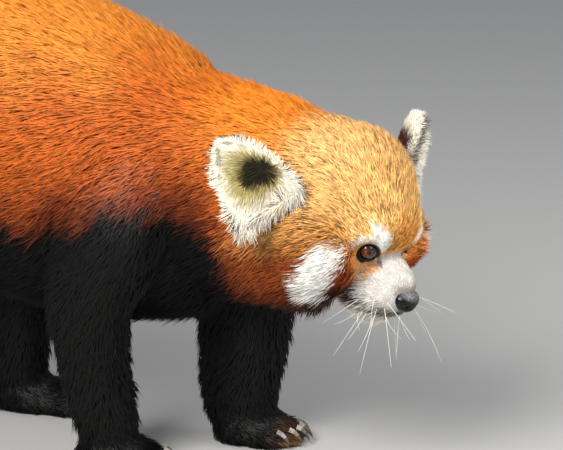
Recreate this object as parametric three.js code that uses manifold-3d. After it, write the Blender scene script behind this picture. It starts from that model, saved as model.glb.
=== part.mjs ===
// A red panda in mid walk, life size, in millimetres: +X towards the head, +Y to its left, +Z up, floor at z = 0.
// The body is laid out from a point on the floor below the withers. The finished group is then shifted
// so that its origin lies on the floor in the middle of the model's box.
import * as THREE from "three";
import { mergeVertices } from "three/addons/utils/BufferGeometryUtils.js";
import Module from "manifold-3d";

const wasm = await Module();
wasm.setup();

// Clearances and the floor
const GAP = 0.3; // between neighbouring pieces
const ROOT_SINK = 4; // how deep a lock's root sits in what it grows from

// Trunk: where the outline of the coat runs, station by station from the chest to the rump
const TRUNK = [
  { x: 54, top: 224, bottom: 106, half: 50 }, // front of the chest
  { x: 26, top: 244, bottom: 88, half: 63 }, // shoulders
  { x: -6, top: 265, bottom: 81, half: 73 }, // withers
  { x: -48, top: 284, bottom: 83, half: 80 }, // ribs
  { x: -98, top: 300, bottom: 93, half: 85 }, // back
  { x: -150, top: 307, bottom: 107, half: 86 }, // top of the arch
  { x: -200, top: 301, bottom: 120, half: 82 }, // loin
  { x: -244, top: 284, bottom: 134, half: 73 }, // hips
  { x: -280, top: 256, bottom: 152, half: 56 }, // rump
];
const TRUNK_ENDS = { front: 24, back: 34 };

// Neck: from inside the shoulders to inside the back of the head
const NECK = [
  { at: [-4, 0, 188], side: 62, up: 69, down: 78 },
  { at: [40, -2, 183], side: 61, up: 66, down: 78 },
  { at: [82, -6, 180], side: 55, up: 60, down: 76 },
  { at: [114, -11, 178], side: 48, up: 51, down: 74 },
];

// Head: the middle of the line between the eyes, and how the head is turned there
const HEAD_AT = [163.4, -20, 151.2];
const HEAD_YAW = -12; // degrees, to its right
const HEAD_PITCH = 35.4; // degrees, nose down
const HEAD_ROLL = -4.2; // degrees

// Eyes, in the head's own frame: x forward, y left, z up
const EYE_RADIUS = 7.2;
const EYE_CENTRE = [-5.6, 20, 0];
const EYE_TURN = 40; // degrees outwards from straight ahead
const LID_RADIUS = 6.1;
const LID_THICK = 1.4;
const EYE_HOLLOW = { ahead: 12.5, radius: 9, fillet: 5 }; // the dip in the face that the eye sits in

// Nose pad
const NOSE_CENTRE = [27.4, 0, -15.6];
const NOSE_SIZE = [6.8, 9.2, 7.2];
const NOSTRIL = { at: [32.2, 4.2, -16.4], size: [3.4, 1.5, 2.3] };

// Ears: root, tip and the outward face of each cup, in the head's frame
const EARS = {
  ear_right: { root: [-58, -59, -6], tip: [-99, -84, 12], face: [0.6, -0.7, 0.36], width: 49 },
  ear_left: { root: [-44, 47, 18], tip: [-66, 74, 45], face: [0.85, 0.2, 0.5], width: 49 },
};
const EAR_THICK = 5.5;
const EAR_CUP = 15; // how deep the cup is
const EAR_CURL = 1.15; // radians, how far each edge curls forwards

// Legs: the middle line of the coat, with its half width and its half depth in front and behind
const FORELEG = {
  foreleg_right: [
    { at: [0, -46, 200], side: 22, up: 36, down: 36 },
    { at: [-10, -54, 160], side: 29, up: 42, down: 42 },
    { at: [-24, -58, 112], side: 27, up: 31, down: 34 },
    { at: [-25, -55, 72], side: 24, up: 26, down: 27 },
    { at: [-20, -52, 40], side: 22, up: 24, down: 25 },
    { at: [-18, -51, 17], side: 21, up: 23, down: 22 },
  ],
  foreleg_left: [
    { at: [6, 44, 200], side: 22, up: 36, down: 36 },
    { at: [14, 52, 160], side: 29, up: 42, down: 44 },
    { at: [28, 53, 112], side: 27, up: 39, down: 41 },
    { at: [34, 49, 72], side: 25, up: 31, down: 38 },
    { at: [32, 46, 40], side: 23, up: 27, down: 34 },
    { at: [32, 45, 17], side: 22, up: 25, down: 30 },
  ],
};
const HINDLEG = {
  hindleg_right: [
    { at: [-236, -46, 218], side: 26, up: 44, down: 40 },
    { at: [-222, -60, 180], side: 32, up: 52, down: 46 },
    { at: [-204, -66, 138], side: 30, up: 42, down: 42 },
    { at: [-216, -64, 92], side: 25, up: 30, down: 32 },
    { at: [-236, -60, 52], side: 22, up: 25, down: 25 },
    { at: [-238, -58, 20], side: 20, up: 24, down: 22 },
  ],
  hindleg_left: [
    { at: [-228, 46, 218], side: 26, up: 44, down: 40 },
    { at: [-196, 60, 180], side: 32, up: 52, down: 46 },
    { at: [-156, 66, 138], side: 30, up: 42, down: 42 },
    { at: [-142, 62, 92], side: 25, up: 30, down: 32 },
    { at: [-142, 57, 52], side: 22, up: 26, down: 25 },
    { at: [-142, 55, 20], side: 20, up: 24, down: 22 },
  ],
};

// Paws: heel and toes on the floor. The length runs from the heel to the tips of the toes.
const PAWS = {
  forepaw_right: { heel: [-42, -51], length: 64, width: 47, turn: 4, leg: "foreleg_right" },
  forepaw_left: { heel: [9, 45], length: 64, width: 47, turn: 2, leg: "foreleg_left" },
  hindpaw_right: { heel: [-262, -58], length: 80, width: 44, turn: -8, leg: "hindleg_right" },
  hindpaw_left: { heel: [-165, 55], length: 80, width: 44, turn: 6, leg: "hindleg_left" },
};
const PAW_HEIGHT = 28;
const TOES = 5;
const TOE_RADIUS = 7.4;
const CLAW_LENGTH = 13;
const CLAW_RADIUS = 2.1;

// Tail: the middle line and the radius of the brush
const TAIL = [
  { at: [-268, 0, 226], r: 27 },
  { at: [-318, 2, 214], r: 33 },
  { at: [-380, 6, 198], r: 43 },
  { at: [-450, 14, 180], r: 48 },
  { at: [-520, 26, 164], r: 49 },
  { at: [-590, 40, 152], r: 47 },
  { at: [-650, 54, 146], r: 41 },
  { at: [-690, 64, 144], r: 30 },
];
const TAIL_END = 38;
const TAIL_CORE = [0.9, 0.74, 0.52, 0.48, 0.48, 0.48, 0.48, 0.48]; // the core's share of the radius, by station
const TAIL_TIERS = 10;
const TAIL_LOCKS = 7; // in each tier
const TAIL_LOCK = { length: 90, width: 14.5, thick: 2.6, hug: 4 };

// Long coat elsewhere, as locks: how long each is, its half width and half thickness, and how far its middle lifts
const CHEEK_LOCK = { length: 30, width: 6.2, thick: 2.2, rise: 2.6 };
const CHIN_LOCK = { length: 13, width: 3.6, thick: 1.6, rise: 1.6 };
const EAR_LOCK = { length: 12, width: 4.4, thick: 1.6, rise: 1, sink: 0.4, back: 5 };

// Colours and finishes, one for each kind of surface
const COAT = {
  rust: { color: 0xb4571f, roughness: 0.85 },
  golden: { color: 0xe8a24c, roughness: 0.85 },
  black: { color: 0x14120f, roughness: 0.8 },
  ringed: { color: 0x9c4a1e, roughness: 0.85 },
  ear: { color: 0xf3ecd2, roughness: 0.85 },
  eye: { color: 0x3a1a0c, roughness: 0.08 },
  nose: { color: 0x0e0d0c, roughness: 0.4 },
  claw: { color: 0xcfc2a4, roughness: 0.45 },
};

const toRadians = THREE.MathUtils.degToRad;
const vec = (p) => new THREE.Vector3(...p);
const SIDES = { right: -1, left: 1 };

// Closes a stack of rings of points into one body. A ring of one point is a pole.
function skinOver(rings) {
  const points = rings.flat();
  const starts = [];
  let count = 0;
  for (const ring of rings) {
    starts.push(count);
    count += ring.length;
  }
  const index = [];
  for (let i = 0; i + 1 < rings.length; i++) {
    const [low, high] = [rings[i], rings[i + 1]];
    const around = Math.max(low.length, high.length);
    for (let j = 0; j < around; j++) {
      const k = (j + 1) % around;
      const a = starts[i] + (low.length === 1 ? 0 : j);
      const b = starts[i] + (low.length === 1 ? 0 : k);
      const c = starts[i + 1] + (high.length === 1 ? 0 : k);
      const d = starts[i + 1] + (high.length === 1 ? 0 : j);
      if (low.length > 1) index.push(a, b, c);
      if (high.length > 1) index.push(a, c, d);
    }
  }
  const flat = points.flatMap((p) => [p.x, p.y, p.z]);
  return new THREE.BufferGeometry()
    .setAttribute("position", new THREE.Float32BufferAttribute(flat, 3))
    .setIndex(index);
}

// A closed geometry as a solid that can be joined and cut
function asSolid(geometry) {
  const bare = geometry.clone();
  for (const name of Object.keys(bare.attributes)) {
    if (name !== "position") bare.deleteAttribute(name);
  }
  const merged = mergeVertices(bare, 1e-4);
  const all = merged.index.array;
  const kept = [];
  for (let i = 0; i < all.length; i += 3) {
    const [a, b, c] = [all[i], all[i + 1], all[i + 2]];
    if (a !== b && b !== c && c !== a) kept.push(a, b, c);
  }
  return new wasm.Manifold(
    new wasm.Mesh({
      numProp: 3,
      vertProperties: new Float32Array(merged.attributes.position.array),
      triVerts: new Uint32Array(kept),
    }),
  );
}

// The largest closed body of a solid, as a geometry
function asGeometry(solid) {
  const bodies = solid.decompose().sort((a, b) => b.volume() - a.volume());
  const mesh = bodies[0].getMesh();
  return new THREE.BufferGeometry()
    .setAttribute("position", new THREE.BufferAttribute(new Float32Array(mesh.vertProperties), 3))
    .setIndex(new THREE.BufferAttribute(new Uint32Array(mesh.triVerts), 1));
}

const fuse = (solids) => solids.reduce((sum, next) => sum.add(next));

// The surface of a smooth tube through stations that each have a middle point and a half size to the side, up and
// down. It answers with the point at a place along the tube (0 to 1) and round it, and which way is out and along.
function tubeSurface(stations, fullness = 2.2) {
  const path = new THREE.CatmullRomCurve3(stations.map((s) => vec(s.at)), false, "centripetal");
  const sizes = new THREE.CatmullRomCurve3(
    stations.map((s) => new THREE.Vector3(s.side, s.up, s.down)),
    false,
    "catmullrom",
    0.5,
  );
  const sideways = new THREE.Vector3(0, 1, 0);
  return (t, angle, { shift = 0, scale = 1, grow = 0 } = {}) => {
    const along = path.getTangent(t);
    const side = sideways.clone().addScaledVector(along, -sideways.dot(along)).normalize();
    const up = new THREE.Vector3().crossVectors(along, side);
    const size = sizes.getPoint(t).addScalar(grow);
    const [c, s] = [Math.cos(angle), Math.sin(angle)];
    const wide = Math.sign(c) * Math.abs(c) ** (2 / fullness) * size.x * scale;
    const high = Math.sign(s) * Math.abs(s) ** (2 / fullness) * (s > 0 ? size.y : size.z) * scale;
    const middle = path.getPoint(t).addScaledVector(along, shift);
    const at = middle.clone().addScaledVector(side, wide).addScaledVector(up, high);
    return { at, along, middle, out: side.multiplyScalar(c).addScaledVector(up, s).normalize() };
  };
}

// A closed tube. The first and last stations are closed by rounded ends, and grow makes the whole body larger.
function tube(stations, { steps, around, ends = [10, 10], fullness = 2.2, grow = 0 }) {
  const surface = tubeSurface(stations, fullness);
  const ringAt = (t, shift, scale) => {
    const ring = [];
    for (let j = 0; j < around; j++) {
      ring.push(surface(t, (2 * Math.PI * j) / around, { shift, scale, grow }).at);
    }
    return ring;
  };
  const capSteps = 3;
  const rings = [[surface(0, 0, { shift: -ends[0] - grow }).middle]];
  for (let k = 1; k < capSteps; k++) {
    const lean = (Math.PI / 2) * (k / capSteps);
    rings.push(ringAt(0, -(ends[0] + grow) * Math.cos(lean), Math.sin(lean)));
  }
  for (let i = 0; i <= steps; i++) rings.push(ringAt(i / steps, 0, 1));
  for (let k = capSteps - 1; k > 0; k--) {
    const lean = (Math.PI / 2) * (k / capSteps);
    rings.push(ringAt(1, (ends[1] + grow) * Math.cos(lean), Math.sin(lean)));
  }
  rings.push([surface(1, 0, { shift: ends[1] + grow }).middle]);
  return skinOver(rings);
}

// A steady stream of numbers from 0 to 1, the same on every run
function dice(seed) {
  let state = seed;
  return () => {
    state = (state * 1664525 + 1013904223) % 4294967296;
    return state / 4294967296;
  };
}

// One flat lock of hair: it leaves the root, bends over a middle point and tapers to its tip.
// Its broad side faces out, and its section is a lens whose edges may hug a round body by bending inwards.
function lock(root, bend, tip, out, { width, thick, hug = 0 }, grow = 0) {
  const line = new THREE.QuadraticBezierCurve3(root, bend, tip);
  const shape = [
    { t: 0, share: 0.4 },
    { t: 0.4, share: 1 },
    { t: 0.76, share: 0.66 },
  ];
  const rings = [[line.getPoint(0).addScaledVector(line.getTangent(0), -1 - grow)]];
  for (const { t, share } of shape) {
    const along = line.getTangent(t);
    const side = new THREE.Vector3().crossVectors(along, out).normalize();
    const face = new THREE.Vector3().crossVectors(along, side);
    const [wide, deep] = [width * share + grow * 1.5, thick * share + grow * 1.5];
    const middle = line.getPoint(t);
    const turned = Math.sign(face.dot(out)) * hug * share;
    rings.push([
      middle.clone().addScaledVector(side, wide).addScaledVector(face, -turned),
      middle.clone().addScaledVector(face, deep),
      middle.clone().addScaledVector(side, -wide).addScaledVector(face, -turned),
      middle.clone().addScaledVector(face, -deep),
    ]);
  }
  rings.push([line.getPoint(1).addScaledVector(line.getTangent(1), grow * 4)]);
  return asSolid(skinOver(rings));
}

// A lock that lies along a surface: lay is the way the hair runs, and the middle lifts clear of the surface
function layingLock({ at, out }, lay, size, grow = 0) {
  const run = lay.clone().normalize();
  const root = at.clone().addScaledVector(out, -(size.sink ?? ROOT_SINK)).addScaledVector(run, -(size.back ?? 0));
  const bend = at.clone().addScaledVector(run, size.length * 0.5).addScaledVector(out, size.rise);
  const tip = at.clone().addScaledVector(run, size.length).addScaledVector(out, size.rise * 0.4);
  return lock(root, bend, tip, out, size, grow);
}

// How far a point lies outside an ellipsoid, negative inside
function ellipsoidGap([x, y, z], { at, size }) {
  const [a, b, c] = [(x - at[0]) / size[0], (y - at[1]) / size[1], (z - at[2]) / size[2]];
  const reach = Math.hypot(a, b, c);
  const steep = Math.hypot(a / size[0], b / size[1], c / size[2]);
  return steep < 1e-9 ? -Math.min(...size) : (reach * (reach - 1)) / steep;
}

// Joins two distances with a rounded fillet
function blend(a, b, fillet) {
  const h = Math.max(fillet - Math.abs(a - b), 0) / fillet;
  return Math.min(a, b) - (h * h * fillet) / 4;
}

// The head as masses that flow into each other. A mass off the middle has a twin on the other side.
const HEAD_FILLET = 11;
const HEAD_MASSES = {
  cranium: { at: [-46, 0, 8], size: [43, 47, 46] },
  forehead: { at: [-20, 0, 12], size: [27, 31, 24] },
  brow: { at: [-11, 16, 8], size: [13, 14, 11] },
  cheek: { at: [-28, 37, -11], size: [32, 27, 27] },
  jowl: { at: [-22, 34, -28], size: [24, 24, 20] },
  jaw: { at: [-14, 0, -28], size: [34, 26, 16] },
  muzzle: { at: [11, 0, -20], size: [20, 17, 13.5] },
  bridge: { at: [8, 0, -8], size: [20, 9.5, 9] },
  lips: { at: [8, 9, -24], size: [15, 10, 10] },
  chin: { at: [9, 0, -34], size: [12, 10, 9.5] },
  nape: { at: [-66, 0, -4], size: [30, 46, 38] },
};

function headGap(x, y, z) {
  let gap = Infinity;
  for (const mass of Object.values(HEAD_MASSES)) {
    gap = blend(gap, ellipsoidGap([x, Math.abs(y), z], mass), Math.min(HEAD_FILLET, 0.9 * mass.size[2]));
  }
  const ahead = EYE_HOLLOW.ahead;
  const [cx, cy] = [Math.cos(toRadians(EYE_TURN)), Math.sin(toRadians(EYE_TURN))];
  const hollow = Math.hypot(
    x - EYE_CENTRE[0] - cx * ahead,
    Math.abs(y) - EYE_CENTRE[1] - cy * ahead,
    z - EYE_CENTRE[2],
  );
  return -blend(-gap, hollow - EYE_HOLLOW.radius, EYE_HOLLOW.fillet);
}

// The point where a ray from inside the head meets its surface
function onHead(from, ray, grow = 0) {
  const gapAt = (far) => headGap(from.x + ray.x * far, from.y + ray.y * far, from.z + ray.z * far) - grow;
  let [low, high] = [0, 3];
  while (gapAt(high) < 0) {
    low = high;
    high += 3;
  }
  for (let n = 0; n < 20; n++) {
    const middle = (low + high) / 2;
    if (gapAt(middle) < 0) low = middle;
    else high = middle;
  }
  return from.clone().addScaledVector(ray, low);
}

// The slope of the head's surface: which way is out, unscaled
function headSlope({ x, y, z }) {
  const step = 0.05;
  return new THREE.Vector3(
    headGap(x + step, y, z) - headGap(x - step, y, z),
    headGap(x, y + step, z) - headGap(x, y - step, z),
    headGap(x, y, z + step) - headGap(x, y, z - step),
  ).divideScalar(2 * step);
}

const headOut = (at) => headSlope(at).normalize();

// Evens out the points of a surface that wraps the head: each moves towards its neighbours and back to the surface
function settle(geometry, passes, grow) {
  const [place, index] = [geometry.attributes.position, geometry.index.array];
  const near = Array.from({ length: place.count }, () => new Set());
  for (let i = 0; i < index.length; i++) {
    const next = i % 3 === 2 ? i - 2 : i + 1;
    near[index[i]].add(index[next]);
    near[index[next]].add(index[i]);
  }
  const at = near.map((_, i) => new THREE.Vector3().fromBufferAttribute(place, i));
  for (let pass = 0; pass < passes; pass++) {
    const moved = at.map((p, i) => {
      const middle = new THREE.Vector3();
      for (const j of near[i]) middle.addScaledVector(at[j], 1 / near[i].size);
      return p.clone().lerp(middle, 0.5);
    });
    for (const p of moved) {
      for (let n = 0; n < 3; n++) {
        const gap = headGap(p.x, p.y, p.z) - grow;
        const slope = headSlope(p);
        p.addScaledVector(slope, -gap / Math.max(slope.lengthSq(), 0.05));
      }
    }
    moved.forEach((p, i) => at[i].copy(p));
  }
  at.forEach((p, i) => place.setXYZ(i, p.x, p.y, p.z));
  return geometry;
}

// Rays that fan out from a line inside the head: where each ring of rays starts, and its angle from straight ahead
const HEAD_FAN = [
  { from: 15, angle: 0 },
  { from: 15, angle: 24 },
  { from: 14, angle: 48 },
  { from: 9, angle: 58 },
  { from: -2, angle: 48 },
  { from: -14, angle: 40 },
  { from: -27, angle: 38 },
  { from: -38, angle: 43 },
  { from: -46, angle: 56 },
  { from: -50, angle: 74 },
  { from: -52, angle: 96 },
  { from: -52, angle: 118 },
  { from: -52, angle: 140 },
  { from: -52, angle: 160 },
  { from: -52, angle: 180 },
];
const HEAD_RINGS = 26;
const HEAD_AROUND = 28;
const HEAD_AXIS_DROP = -20; // the line starts at the muzzle's height and rises to the skull's middle

function headSkin(grow = 0, count = HEAD_RINGS, round = HEAD_AROUND) {
  const fan = new THREE.CatmullRomCurve3(
    HEAD_FAN.map((f) => new THREE.Vector3(f.from, f.angle, 0)),
    false,
    "catmullrom",
    0.4,
  );
  const rings = [];
  for (let i = 0; i <= count; i++) {
    const { x: from, y: angle } = fan.getPoint(i / count);
    const lean = toRadians(Math.min(Math.max(angle, 0), 180));
    const height = HEAD_AXIS_DROP * THREE.MathUtils.smoothstep(from, -45, 15);
    const around = i === 0 || i === count ? 1 : round;
    const ring = [];
    for (let j = 0; j < around; j++) {
      const turn = (2 * Math.PI * j) / round;
      const ray = vec([Math.cos(lean), Math.sin(lean) * Math.cos(turn), Math.sin(lean) * Math.sin(turn)]);
      ring.push(onHead(vec([from, 0, height]), ray, grow));
    }
    rings.push(ring);
  }
  return settle(skinOver(rings.reverse()), 12, grow);
}

const HEAD_PLACE = new THREE.Matrix4().compose(
  vec(HEAD_AT),
  new THREE.Quaternion().setFromEuler(
    new THREE.Euler(toRadians(HEAD_ROLL), toRadians(HEAD_PITCH), toRadians(HEAD_YAW), "ZYX"),
  ),
  new THREE.Vector3(1, 1, 1),
);
const inHead = (geometry) => asSolid(geometry.clone().applyMatrix4(HEAD_PLACE));
const asSolidInHead = (solids) => fuse(solids).transform(HEAD_PLACE.elements);

const mirrored = ([x, y, z], side) => [x, Math.abs(y) * side, z];

function ball(at, size, wide = 16, high = 10) {
  return new THREE.SphereGeometry(1, wide, high).scale(...size).translate(...at);
}

const eyeball = (side, grow = 0) => ball(mirrored(EYE_CENTRE, side), Array(3).fill(EYE_RADIUS + grow), 12, 9);

// The two lids of one eye: a rounded almond ring that lies on the front of the ball
function lids(side) {
  const outwards = new THREE.Vector3(1, 0, 0).applyAxisAngle(
    new THREE.Vector3(0, 0, 1),
    toRadians(EYE_TURN) * side,
  );
  const ahead = Math.sqrt(EYE_RADIUS ** 2 - LID_RADIUS ** 2) - 0.2;
  return new THREE.TorusGeometry(LID_RADIUS, LID_THICK, 5, 14)
    .scale(1.08, 0.94, 1)
    .applyQuaternion(new THREE.Quaternion().setFromUnitVectors(new THREE.Vector3(0, 0, 1), outwards))
    .translate(...vec(mirrored(EYE_CENTRE, side)).addScaledVector(outwards, ahead).toArray());
}

const nosePad = (grow = 0) => ball(NOSE_CENTRE, NOSE_SIZE.map((s) => s + grow), 12, 8);

function makeNose() {
  const cuts = Object.values(SIDES).map((side) => {
    const geometry = ball([0, 0, 0], NOSTRIL.size, 8, 6)
      .rotateX(side * 0.5)
      .rotateZ(-side * 0.35)
      .translate(...mirrored(NOSTRIL.at, side));
    return inHead(geometry);
  });
  return inHead(nosePad()).subtract(fuse(cuts));
}

// The mouth: half of its line, from under the nose to the corner, as the height and the turn from straight ahead
const MOUTH = [
  { z: -27.5, turn: 0 },
  { z: -29, turn: 18 },
  { z: -30.5, turn: 40 },
  { z: -31.5, turn: 66 },
  { z: -33.5, turn: 96 },
];
const MOUTH_FROM = 8; // the rays to the lips start here, on the middle plane
const LIP_RADIUS = 1.3;

function mouthCurve(lift) {
  const half = MOUTH.map(({ z, turn }) => {
    const ray = vec([Math.cos(toRadians(turn)), Math.sin(toRadians(turn)), 0]);
    return onHead(vec([MOUTH_FROM, 0, z + lift]), ray);
  });
  const other = half.slice(1).map((p) => new THREE.Vector3(p.x, -p.y, p.z));
  return new THREE.CatmullRomCurve3([...other.reverse(), ...half]);
}

// The gap between the lips: a blade that is thickest in its middle
function mouthCut() {
  const curve = mouthCurve(0);
  const steps = 12;
  const rings = [[curve.getPoint(0)]];
  for (let i = 1; i < steps; i++) {
    const p = curve.getPoint(i / steps);
    const out = new THREE.Vector3(p.x - MOUTH_FROM, p.y, 0).normalize();
    const up = new THREE.Vector3(0, 0, 0.7);
    const ring = [p.clone().addScaledVector(out, 4), p.clone().sub(up)];
    ring.push(p.clone().addScaledVector(out, -2.6), p.clone().add(up));
    rings.push(ring);
  }
  rings.push([curve.getPoint(1)]);
  return skinOver(rings);
}

function closedTube(curve, steps, radius, sides) {
  const frames = curve.computeFrenetFrames(steps, false);
  const rings = [[curve.getPoint(0)]];
  for (let i = 1; i < steps; i++) {
    const ring = [];
    for (let j = 0; j < sides; j++) {
      const angle = (2 * Math.PI * j) / sides;
      ring.push(
        curve
          .getPointAt(i / steps)
          .addScaledVector(frames.normals[i], radius * Math.cos(angle))
          .addScaledVector(frames.binormals[i], radius * Math.sin(angle)),
      );
    }
    rings.push(ring);
  }
  rings.push([curve.getPoint(1)]);
  return skinOver(rings);
}

function makeHead() {
  const soft = [inHead(closedTube(mouthCurve(1.1), 12, LIP_RADIUS, 4))];
  for (const side of Object.values(SIDES)) soft.push(inHead(lids(side)));
  const cuts = [inHead(nosePad(GAP)), inHead(mouthCut())];
  for (const side of Object.values(SIDES)) cuts.push(inHead(eyeball(side, GAP)));
  return inHead(headSkin()).add(fuse(soft)).subtract(fuse(cuts));
}

// The surface of a cupped ear: a leaf that curls round its own long axis, with a rounded tip. u runs across it from
// -1 to 1, w from the root to the tip, and face is 1 on the side of the cup and -1 on the back.
function earSurface({ root, tip, face, width }, grow = 0) {
  const [foot, top] = [vec(root), vec(tip)];
  const long = top.clone().sub(foot);
  const height = long.length();
  long.normalize();
  const out = vec(face).addScaledVector(long, -vec(face).dot(long)).normalize();
  const side = new THREE.Vector3().crossVectors(out, long);
  const thick = EAR_THICK / 2 + grow;
  const at = (u, w, facing) => {
    const spread = (width / 2 + grow) * (1 - 0.56 * w) * Math.sqrt(Math.max(0, 1 - w ** 5));
    const curl = EAR_CURL * u;
    const rim = Math.sqrt(Math.max(0, 1 - u * u)) * 0.75 + 0.25;
    const cup = EAR_CUP * (1 - Math.cos(curl)) * 1.7 * (1 - 0.55 * w) - EAR_CUP * 0.3;
    return foot
      .clone()
      .addScaledVector(long, height * w * (1 - 0.06 * u * u) - 9 * (1 - w) + grow * (2 * w - 1))
      .addScaledVector(side, (spread * Math.sin(curl)) / Math.sin(EAR_CURL))
      .addScaledVector(out, cup + facing * thick * rim * (1 - 0.4 * w));
  };
  return { at, long, out, side };
}

function earSheet(ear, grow = 0) {
  const { at } = earSurface(ear, grow);
  const [across, steps] = [9, 7];
  const rings = [[at(0, 0, 0)]];
  for (let i = 0; i <= steps; i++) {
    const w = (i / steps) * 0.985;
    const ring = [];
    for (let j = 0; j < across; j++) ring.push(at(-1 + (2 * j) / across, w, 1));
    for (let j = 0; j < across; j++) ring.push(at(1 - (2 * j) / across, w, -1));
    rings.push(ring.reverse());
  }
  rings.push([at(0, 1, 0)]);
  return skinOver(rings);
}

// The fringe of an ear: tufts down its outer edge
function earTufts(ear, outer, grow = 0) {
  const { at, long, out, side } = earSurface(ear);
  const tufts = [];
  for (const w of [0.02, 0.13, 0.25, 0.37, 0.5, 0.64]) {
    const lay = side.clone().multiplyScalar(0.7 * outer).addScaledVector(long, 1.2 * w - 0.6);
    const size = { ...EAR_LOCK, length: EAR_LOCK.length * (1.2 - 0.6 * w) };
    tufts.push(layingLock({ at: at(outer * 0.94, w, 0), out: out.clone() }, lay, size, grow));
  }
  return fuse(tufts);
}

// Trunk, neck, tail and legs. The stations of the trunk run from the rump to the chest.
const TRUNK_STATIONS = [...TRUNK].reverse().map(({ x, top, bottom, half }) => ({
  at: [x, 0, (top + bottom) / 2],
  side: half,
  up: (top - bottom) / 2,
  down: (top - bottom) / 2,
}));

const trunk = (grow = 0) =>
  asSolid(
    tube(TRUNK_STATIONS, { steps: 15, around: 24, ends: [TRUNK_ENDS.back, TRUNK_ENDS.front], grow }),
  );

const neck = (grow = 0) => asSolid(tube(NECK, { steps: 6, around: 20, ends: [20, 16], grow }));

const legTube = (stations, grow = 0) =>
  asSolid(tube(stations, { steps: 8, around: 14, ends: [18, 8], grow }));

function tailStations(shares) {
  return TAIL.map(({ at, r }, k) => ({ at, side: r * shares[k], up: r * shares[k], down: r * shares[k] }));
}

const tailCore = (grow = 0) =>
  asSolid(
    tube(tailStations(TAIL_CORE), { steps: 12, around: 12, ends: [14, TAIL_END * 0.5], fullness: 2, grow }),
  );

// The tips of the brush: past the last station they close in on the end of the tail
function brushPoint(surface, far, angle, spread) {
  if (far <= 1) return surface(far, angle, { scale: spread }).at;
  const past = Math.min((far - 1) * TAIL_RUN, TAIL_END * 0.97);
  const round = Math.sqrt(1 - (past / TAIL_END) ** 2);
  return surface(1, angle, { shift: past, scale: spread * round }).at;
}

const TAIL_RUN = new THREE.CatmullRomCurve3(TAIL.map((s) => vec(s.at)), false, "centripetal").getLength();

function tailLocks(grow = 0) {
  const surface = tubeSurface(tailStations(TAIL.map(() => 1)), 2);
  const core = tubeSurface(tailStations(TAIL_CORE), 2);
  const roll = dice(11);
  const locks = [];
  for (let i = 0; i < TAIL_TIERS; i++) {
    const start = 0.11 + (0.85 * i) / (TAIL_TIERS - 1);
    for (let j = 0; j < TAIL_LOCKS; j++) {
      const angle = (2 * Math.PI * (j + 0.5 * (i % 2) + 0.3 * (roll() - 0.5))) / TAIL_LOCKS;
      const reach = (TAIL_LOCK.length * (0.88 + 0.24 * roll())) / TAIL_RUN;
      const { out } = surface(start, angle);
      const root = core(start, angle).at.addScaledVector(out, -ROOT_SINK);
      const bend = brushPoint(surface, start + 0.45 * reach, angle, 0.86);
      const tip = brushPoint(surface, start + reach, angle, 0.99 + 0.05 * roll());
      locks.push(lock(root, bend, tip, out, TAIL_LOCK, grow));
    }
  }
  return fuse(locks);
}

// The ruff: two rows of locks down each cheek, and a fringe under the chin
const RUFF_ROWS = [
  { from: [-25, 0, -14], turns: [8, 24, 40, 56, 72] },
  { from: [-40, 0, -12], turns: [0, 16, 32, 48, 64] },
];

function headLocks(grow = 0) {
  const roll = dice(21);
  const locks = [];
  for (const side of Object.values(SIDES)) {
    for (const { from, turns } of RUFF_ROWS) {
      for (const turn of turns) {
        const angle = toRadians(turn + 5 * (roll() - 0.5));
        const at = onHead(vec(from), vec([-0.1, side * Math.cos(angle), -Math.sin(angle)]).normalize());
        const out = headOut(at);
        const lay = vec([-0.8 + 0.25 * roll(), 0, -0.75 + 0.3 * (roll() - 0.5)]);
        lay.addScaledVector(out, -lay.dot(out));
        const size = { ...CHEEK_LOCK, length: CHEEK_LOCK.length * (0.85 + 0.3 * roll()) };
        locks.push(layingLock({ at, out }, lay, size, grow));
      }
    }
  }
  for (const [x, y] of [[12, 0], [6, -8], [6, 8], [-4, -4], [-4, 5]]) {
    const at = onHead(vec([x, y, -30]), vec([0, 0, -1]));
    locks.push(layingLock({ at, out: headOut(at) }, vec([-0.75, 0.02 * y, -0.5]), CHIN_LOCK, grow));
  }
  return asSolidInHead(locks);
}

// Where toe number n starts and points, in the paw's own frame: x along the paw, y across it
function toeLine(paw, n) {
  const across = (n / (TOES - 1)) * 2 - 1;
  const reach = paw.length - TOE_RADIUS * (1 + 0.9 * across * across);
  return { x: reach, y: across * (paw.width / 2 - TOE_RADIUS), fan: across * 0.16 };
}

function placedPaw(geometry, paw) {
  return asSolid(
    geometry.clone().rotateZ(toRadians(paw.turn)).translate(paw.heel[0], paw.heel[1], 0),
  );
}

function pawSolid(paw, grow = 0) {
  const body = ball(
    [paw.length * 0.44, 0, PAW_HEIGHT * 0.3],
    [paw.length * 0.45 + grow, paw.width / 2 + grow, PAW_HEIGHT * 0.62 + grow],
    12,
    7,
  );
  const pieces = [placedPaw(body, paw)];
  for (let n = 0; n < TOES; n++) {
    const { x, y, fan } = toeLine(paw, n);
    const toe = ball([0, 0, 0], [TOE_RADIUS * 1.9 + grow, TOE_RADIUS + grow, TOE_RADIUS * 1.15 + grow], 7, 5)
      .rotateY(0.22)
      .rotateZ(fan)
      .translate(x - TOE_RADIUS, y, TOE_RADIUS * 0.95);
    pieces.push(placedPaw(toe, paw));
  }
  const floor = new THREE.BoxGeometry(400, 400, 60).translate(paw.heel[0], paw.heel[1], -30);
  return fuse(pieces).subtract(asSolid(floor));
}

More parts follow.
